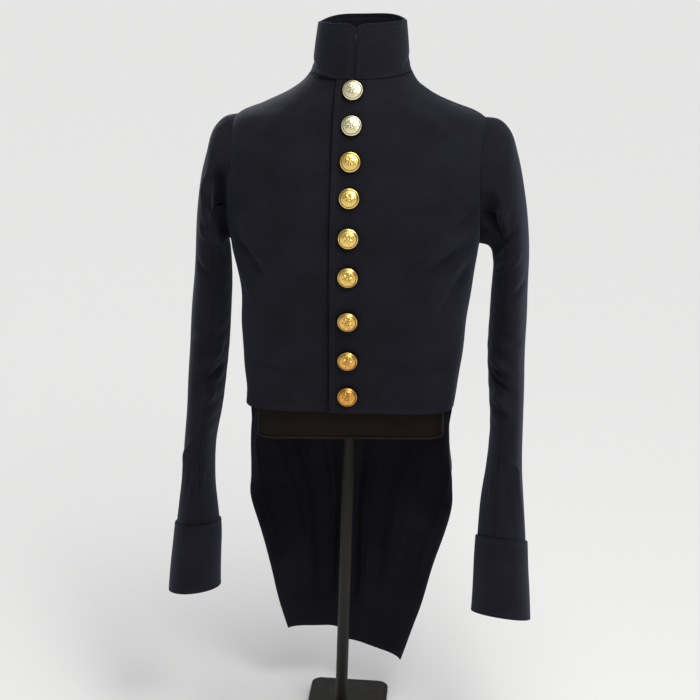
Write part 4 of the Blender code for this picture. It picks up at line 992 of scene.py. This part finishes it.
def cuff_ring(name, table, hand, phase):
    """A cuff: the sleeve's own surface below CUFF_START, stood off by the gap and its own thickness, a whole turn,
    with two slow waves round it."""
    surface = sleeve_surface(table, hand)
    last = float(len(table))
    top = CUFF_START
    line = (lambda place: surface(top + place, np.full_like(place, math.pi / 2.0)), last - top)
    places = top + line_places(line, 34)
    turn = np.linspace(0.0, 2.0 * math.pi, 112, endpoint=False)
    place, theta = np.meshgrid(places, turn, indexing="ij")
    plain = surface(place, theta)
    normal = normals(surface, np.clip(place, 1e-3, last - 1e-3), theta, -hand)
    share = (place - top) / (last - top)
    lift = CUFF_GAP + CLOTH + 0.0005 * share * np.sin(2.0 * theta + phase)
    lift = lift + 0.0004 * np.sin(3.0 * theta + 5.0 * share + phase) * np.clip(share * 3.0, 0.0, 1.0) + 0.0006 * share
    return shell(name, plain + normal * lift[..., None], normal, CLOTH, WOOL, closed=True, sewn="fl")


cuffs = {}
for side_name, table, hand, phase in (("left", LEFT_SLEEVE, 1.0, 0.4), ("right", RIGHT_SLEEVE, -1.0, 2.1)):
    piece = cuff_ring(f"{side_name.capitalize()}_cuff", table, hand, phase)
    cuffs[side_name] = piece
    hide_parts("cuff_" + side_name)
    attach(piece, "root")

# ------------------------------------------------------------------------------------------------------------------
# Tails: one each side, of the same wool, seamed under the waist behind the hips and hanging free behind the stand.
# They narrow to a slanting hem. Their edges are turned and pressed; long soft folds run down from the waist, and the
# left tail's inner edge laps a little over the right one's.
# ------------------------------------------------------------------------------------------------------------------

LEFT_TAIL = np.array((
    # outer x, y, z, inner x, y, z, square, wave
    (0.1360, -0.0140, 0.470, 0.0012, 0.0870, 0.470, 5.00, 0.000),
    (0.1402, 0.0000, 0.420, -0.0035, 0.0900, 0.420, 3.40, 0.002),
    (0.1450, 0.0200, 0.370, -0.0045, 0.0960, 0.370, 2.60, 0.004),
    (0.1452, 0.0360, 0.325, -0.0050, 0.0990, 0.320, 2.10, 0.003),
    (0.1262, 0.0420, 0.250, -0.0050, 0.1000, 0.240, 1.80, 0.004),
    (0.1062, 0.0420, 0.165, -0.0050, 0.0970, 0.160, 1.60, 0.004),
    (0.0830, 0.0400, 0.088, -0.0045, 0.0910, 0.092, 1.50, 0.0015),
))
RIGHT_TAIL = np.array((
    (0.1345, -0.0140, 0.470, 0.0012, 0.0870, 0.470, 5.00, 0.000),
    (0.1372, 0.0000, 0.420, 0.0018, 0.0950, 0.420, 3.40, 0.002),
    (0.1398, 0.0240, 0.370, 0.0030, 0.1010, 0.370, 2.60, 0.004),
    (0.1415, 0.0440, 0.325, 0.0050, 0.1050, 0.325, 2.10, 0.003),
    (0.1222, 0.0560, 0.250, 0.0080, 0.1070, 0.250, 1.80, 0.004),
    (0.1060, 0.0640, 0.175, 0.0110, 0.1060, 0.175, 1.60, 0.004),
    (0.0880, 0.0700, 0.113, 0.0140, 0.1030, 0.105, 1.50, 0.0015),
))
TAIL_FRONT = math.radians(82.0)
TAIL_WAVES = 1.25
# Long folds of a tail: share across it from the inner edge times 0.2 m, and height; width and depth in metres
LEFT_TAIL_FOLDS = (
    ((0.035, 0.480), (0.045, 0.120), 0.0100, 0.0026), ((0.065, 0.470), (0.080, 0.160), 0.0110, -0.0026),
    ((0.100, 0.480), (0.110, 0.140), 0.0110, 0.0028), ((0.135, 0.460), (0.140, 0.200), 0.0100, -0.0022),
    ((0.170, 0.440), (0.172, 0.180), 0.0080, 0.0018),
)
RIGHT_TAIL_FOLDS = (
    ((0.030, 0.480), (0.036, 0.150), 0.0095, 0.0024), ((0.058, 0.460), (0.070, 0.190), 0.0100, -0.0026),
    ((0.090, 0.480), (0.104, 0.150), 0.0110, 0.0026), ((0.128, 0.470), (0.132, 0.220), 0.0100, -0.0020),
    ((0.165, 0.450), (0.168, 0.200), 0.0080, 0.0016),
)


def tail_surface(table, hand):
    """A function of row place and share across that gives a tail's outside, from the inner to the outer edge.

    The first row lies on the body's own waist ring, with its folds. The lower rows are quarters of a superellipse
    between the table's edges, with a soft wave across them.
    """
    def surface(place, share):
        turn = math.pi + (TAIL_FRONT - math.pi) * share
        turn = turn - 0.5 * SEAM_GAP / BODY_RINGS[0, 5] * (1.0 - share)
        top = body_surface(np.zeros_like(share), hand * turn)
        outward = normals(body_surface, np.full_like(share, 1e-3), hand * turn) * np.array((1.0, 1.0, 0.0))
        outward /= np.linalg.norm(outward, axis=-1, keepdims=True)
        top = top + outward * body_relief(top, hand * turn, 0.0)[..., None]
        top[..., 2] -= SEAM_GAP
        rows = between_rows(table, np.maximum(place - 1.0, 0.0))
        outer_x, outer_y, outer_z, inner_x, inner_y, inner_z, square, wave = np.moveaxis(rows, -1, 0)
        quarter = share * math.pi / 2.0
        radius = ring_radius(outer_x - inner_x, inner_y - outer_y, square, quarter)
        x = hand * (inner_x + radius * np.sin(quarter))
        y = outer_y + radius * np.cos(quarter) + wave * np.sin(2.0 * math.pi * TAIL_WAVES * share)
        z = inner_z + (outer_z - inner_z) * share
        ease = np.clip(place, 0.0, 1.0)[..., None]
        return top + (np.stack((x, y, z), axis=-1) - top) * ease
    return surface


def tail(name, table, hand, folds):
    """One tail: its surface, lifted by its long folds, which grow in below the waist seam."""
    surface = tail_surface(table, hand)
    last = float(len(table))
    line = (lambda place: surface(place, np.full_like(place, 0.5)), last)
    places = line_places(line, 130)
    place, share = np.meshgrid(places, edged(np.array([0.190]), 66)[0], indexing="ij")
    plain = surface(place, share)
    normal = normals(surface, np.clip(place, 1e-3, last - 1e-3), np.clip(share, 1e-3, 1.0 - 1e-3), hand)
    level = np.clip(place / 0.3, 0.0, 1.0)
    normal[..., 2] *= level
    normal /= np.linalg.norm(normal, axis=-1, keepdims=True)
    z = plain[..., 2]
    lift = sum(ridge(share * 0.2, z, *fold, fade=0.2) for fold in folds)
    lift += 0.0007 * np.sin(41.0 * z + 9.0 * share) * np.sin(7.0 * share - 23.0 * z + hand)
    lift = lift * np.clip(place / 1.2, 0.0, 1.0) * np.clip((last - place) / 0.8, 0.25, 1.0)
    return shell(name, plain + normal * lift[..., None], normal, CLOTH, WOOL, sewn="lse")


tail_left = tail("Left_tail", LEFT_TAIL, 1.0, LEFT_TAIL_FOLDS)
tail_right = tail("Right_tail", RIGHT_TAIL, -1.0, RIGHT_TAIL_FOLDS)
for piece, node, area, hung_on in ((tail_left, "tail_left", 0.0695, [back_left, side_left]),
                                   (tail_right, "tail_right", 0.062, [back_right, side_right])):
    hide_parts(node)
    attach(piece, "root")

# ------------------------------------------------------------------------------------------------------------------
# Buttons: nine domed gilt brass buttons, die-struck with a ring, beads and a plain six-petalled rosette, each on a
# shank sewn through to the right front. The gilt is brown in the hollows; it is painted paler up the row and bronze
# lower down, a painted highlight and painted shade for light from above.
# ------------------------------------------------------------------------------------------------------------------

BUTTON_RADIUS = 0.0128
BUTTON_DOME = 0.0052
BUTTON_SHANK_RADIUS, BUTTON_SHANK = 0.0032, 0.0022
BUTTON_TOP = BUTTON_SHANK + 0.0024


def button_relief(x, y):
    """The struck motif's height over the dome, in metres: a plain ring near the rim, a ring of beads inside it, and
    in the middle a rosette of six pointed petals, each with a raised rib, about a round boss."""
    radius, turn = np.hypot(x, y), np.arctan2(y, x)
    ring = 0.00042 * np.exp(-((radius - 0.0101) / 0.00050) ** 2)
    beads = 0.00040 * np.exp(-((radius - 0.0086) / 0.00055) ** 2) * (0.5 + 0.5 * np.cos(22.0 * turn))
    petal = 0.0020 + 0.0050 * np.abs(np.cos(3.0 * turn)) ** 1.8
    petals = 0.00075 * np.clip((petal - radius) / 0.0006, 0.0, 1.0) * np.clip((radius - 0.0018) / 0.0006, 0.0, 1.0)
    rib = 0.00028 * np.exp(-((radius * np.sin(3.0 * turn)) / 0.00110) ** 2) * (petals > 0.0)
    boss = 0.00085 * np.sqrt(np.clip(1.0 - (radius / 0.0017) ** 2, 0.0, 1.0))
    return ring + beads + petals + rib + boss


def button_mesh(name, material):
    """A whole button about Z: a profile of rings turned round the axis. Its domed face also takes the struck relief.

    The dome is a cosine swing; the rim a half circle; the back flat in to the shank, whose foot is closed.
    """
    sides = 112
    turn = np.linspace(0.0, 2.0 * math.pi, sides, endpoint=False)
    share = np.linspace(0.012, 1.0, 46)
    swing = np.radians(66.0) * share
    face_r = 0.0108 * np.sin(swing) / math.sin(math.radians(66.0))
    face_z = BUTTON_TOP - 0.0012 + (BUTTON_DOME + 0.0012) * np.cos(swing)
    step_r = np.array((0.0111, 0.0114))
    step_z = np.array((face_z[-1] - 0.0003, face_z[-1] - 0.0001))
    rim = np.linspace(math.pi / 2.0, -math.pi / 2.0, 9)
    rim_r = BUTTON_RADIUS - 0.0009 + 0.0009 * np.cos(rim)
    rim_z = BUTTON_TOP - 0.0004 + 0.0012 * np.sin(rim)
    back_r = np.array((BUTTON_SHANK_RADIUS + 0.0010, BUTTON_SHANK_RADIUS, BUTTON_SHANK_RADIUS))
    back_z = np.array((BUTTON_SHANK, BUTTON_SHANK - 0.0004, 0.0))
    radius = np.concatenate((face_r, step_r, rim_r, back_r))
    height = np.concatenate((face_z, step_z, rim_z, back_z))
    x, y = radius[:, None] * np.cos(turn), radius[:, None] * np.sin(turn)
    z = np.repeat(height[:, None], sides, axis=1)
    z[: len(share)] += button_relief(x, y)[: len(share)]
    ring = np.stack((x, y, z), axis=-1).reshape(-1, 3)
    ends = np.array([(0.0, 0.0, z[0].mean()), (0.0, 0.0, 0.0)])
    rows = len(radius)
    faces = grid_faces(rows, sides, True, flip=True)
    low = (rows - 1) * sides
    faces += [(rows * sides, k, (k + 1) % sides) for k in range(sides)]
    faces += [(rows * sides + 1, low + (k + 1) % sides, low + k) for k in range(sides)]
    return thing(name, np.concatenate((ring, ends)), faces, material, 60.0)


def gilt():
    """Gilt brass: pale gold on the upper buttons and bronze lower down the row, a painted highlight and painted shade
    for light from above; brown in the hollows.
    """
    made = Shading("Gilt")
    place = made.node("ShaderNodeTexCoord").outputs["Object"]
    hollow = made.node("ShaderNodeAmbientOcclusion", {"samples": 8}, Distance=0.0022).outputs["AO"]
    dirt = made.spread(hollow, 0.60, 0.93, 1.0, 0.0)
    # painted light: the colour is graded by height on the coat, bronze low down (painted shade), gold higher up and
    # palest on the top buttons (painted highlight), for light falling from above
    height = made.node("ShaderNodeSeparateXYZ", Vector=place).outputs["Z"]
    lit_by_height = made.spread(height, 0.54, 0.74)
    highlight_by_height = made.spread(height, 0.855, 0.880)
    mottle = made.node("ShaderNodeTexNoise", Vector=place, Scale=420.0, Detail=4.0).outputs["Fac"]
    shaded_bronze_mottle = made.mix(made.spread(mottle, 0.35, 0.70), (0.76, 0.36, 0.075), (0.92, 0.50, 0.12))
    colour = made.mix(highlight_by_height, made.mix(lit_by_height, shaded_bronze_mottle, (1.0, 0.72, 0.22)), (1.0, 0.93, 0.60))
    colour = made.mix(made.maths("MULTIPLY", dirt, 0.92), colour, (0.16, 0.060, 0.010))
    rough = made.maths("ADD", made.spread(mottle, 0.3, 0.7, 0.24, 0.36), made.maths("MULTIPLY", dirt, 0.25))
    return made.finish(Base_Color=colour, Roughness=rough, Metallic=1.0)


GILT = gilt()
buttons = []
for number, height in enumerate(BUTTON_HEIGHTS, start=1):
    at = np.array([np.interp(height, BODY_RINGS[:, 0], np.arange(len(BODY_RINGS)))])
    row = between_rows(BODY_RINGS, at)[0]
    turn = np.arctan2(closing_line(np.array([height])) - row[7], row[4])
    foot = body_surface(at, turn)[0]
    normal = normals(body_surface, at, turn)[0]
    button = button_mesh(f"Button_{number}", GILT)
    spin = Matrix.Rotation(math.radians((7, -11, 18, 4, -15, 9, -6, 14, -9)[number - 1]), 4, "Z")
    lean = (Matrix.Rotation(math.atan2(normal[0], -normal[1]), 4, "Z")
            @ Matrix.Rotation(math.acos(normal[2]), 4, "X"))
    button.data.transform(Matrix.Translation(foot + normal * SEAM_GAP) @ lean @ spin)
    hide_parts(f"button_{number}")
    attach(button, "root")
    buttons.append(button)

# ------------------------------------------------------------------------------------------------------------------
# The studio: an even pale floor that fills the picture, a broad soft ceiling light, a smaller one near the camera
# that falls off down the coat, one behind, and pale surroundings. The camera looks a little down and leans a little.
# ------------------------------------------------------------------------------------------------------------------

CAMERA_TURN, CAMERA_DISTANCE, CAMERA_HEIGHT = math.radians(4.0), 2.0, 1.15
AIM_HEIGHT, CAMERA_ROLL, FOCAL_PIXELS = 0.57, math.radians(1.8), 1470.0


def pale_floor():
    """One matt pale grey, no pattern."""
    made = Shading("Pale floor")
    return made.finish(Base_Color=(0.93, 0.93, 0.93, 1.0), Roughness=1.0, Specular_IOR_Level=0.0)


half = 40.0
floor = thing("Floor", [(-half, -half, 0.0), (half, -half, 0.0), (half, half, 0.0), (-half, half, 0.0)],
              [(0, 1, 2, 3)], pale_floor())


def lamp(name, kind, place, aim, power, colour, **settings):
    """A light that looks from place towards aim; settings are its own size, angle or shape."""
    data = bpy.data.lights.new(name, kind)
    data.energy, data.color = power, colour
    for key, value in settings.items():
        setattr(data, key, value)
    made = bpy.data.objects.new(name, data)
    bpy.context.scene.collection.objects.link(made)
    away = np.array(place) - np.array(aim)
    made.location = place
    made.rotation_euler = (math.atan2(math.hypot(away[0], away[1]), away[2]), 0.0,
                           math.atan2(away[0], -away[1]))
    return made


lamp("Ceiling", "SUN", (0.5, -0.7, 2.4), (0.0, 0.0, 0.0), 1.72, (1.0, 0.99, 0.97), angle=math.radians(50.0))
lamp("Key", "AREA", (0.42, -0.78, 1.52), (0.0, 0.0, 0.88), 5.3, (1.0, 0.98, 0.95), size=0.36)
lamp("Rear", "AREA", (-0.70, 1.40, 1.35), (0.0, 0.0, 0.90), 1.2, (1.0, 0.99, 0.97), size=0.80,
     spread=math.radians(50.0))

world = bpy.data.worlds.new("Pale surroundings")
world.use_nodes = True
world.node_tree.nodes["Background"].inputs["Color"].default_value = (0.97, 0.98, 1.0, 1.0)
world.node_tree.nodes["Background"].inputs["Strength"].default_value = 0.34
bpy.context.scene.world = world
bpy.context.scene.view_settings.view_transform = "Standard"

camera_data = bpy.data.cameras.new("Camera")
distance = math.hypot(CAMERA_DISTANCE, CAMERA_HEIGHT - AIM_HEIGHT)
camera_data.sensor_width = 36.0
camera_data.lens = FOCAL_PIXELS * distance / CAMERA_DISTANCE / 700.0 * 36.0
camera = bpy.data.objects.new("Camera", camera_data)
bpy.context.scene.collection.objects.link(camera)
pitch = math.atan2(CAMERA_HEIGHT - AIM_HEIGHT, CAMERA_DISTANCE)
camera.matrix_world = (Matrix.Translation((CAMERA_DISTANCE * math.sin(CAMERA_TURN) - 0.003,
                                           -CAMERA_DISTANCE * math.cos(CAMERA_TURN), CAMERA_HEIGHT))
                       @ Matrix.Rotation(CAMERA_TURN, 4, "Z") @ Matrix.Rotation(math.pi / 2.0 - pitch, 4, "X")
                       @ Matrix.Rotation(CAMERA_ROLL, 4, "Z"))
bpy.context.scene.camera = camera
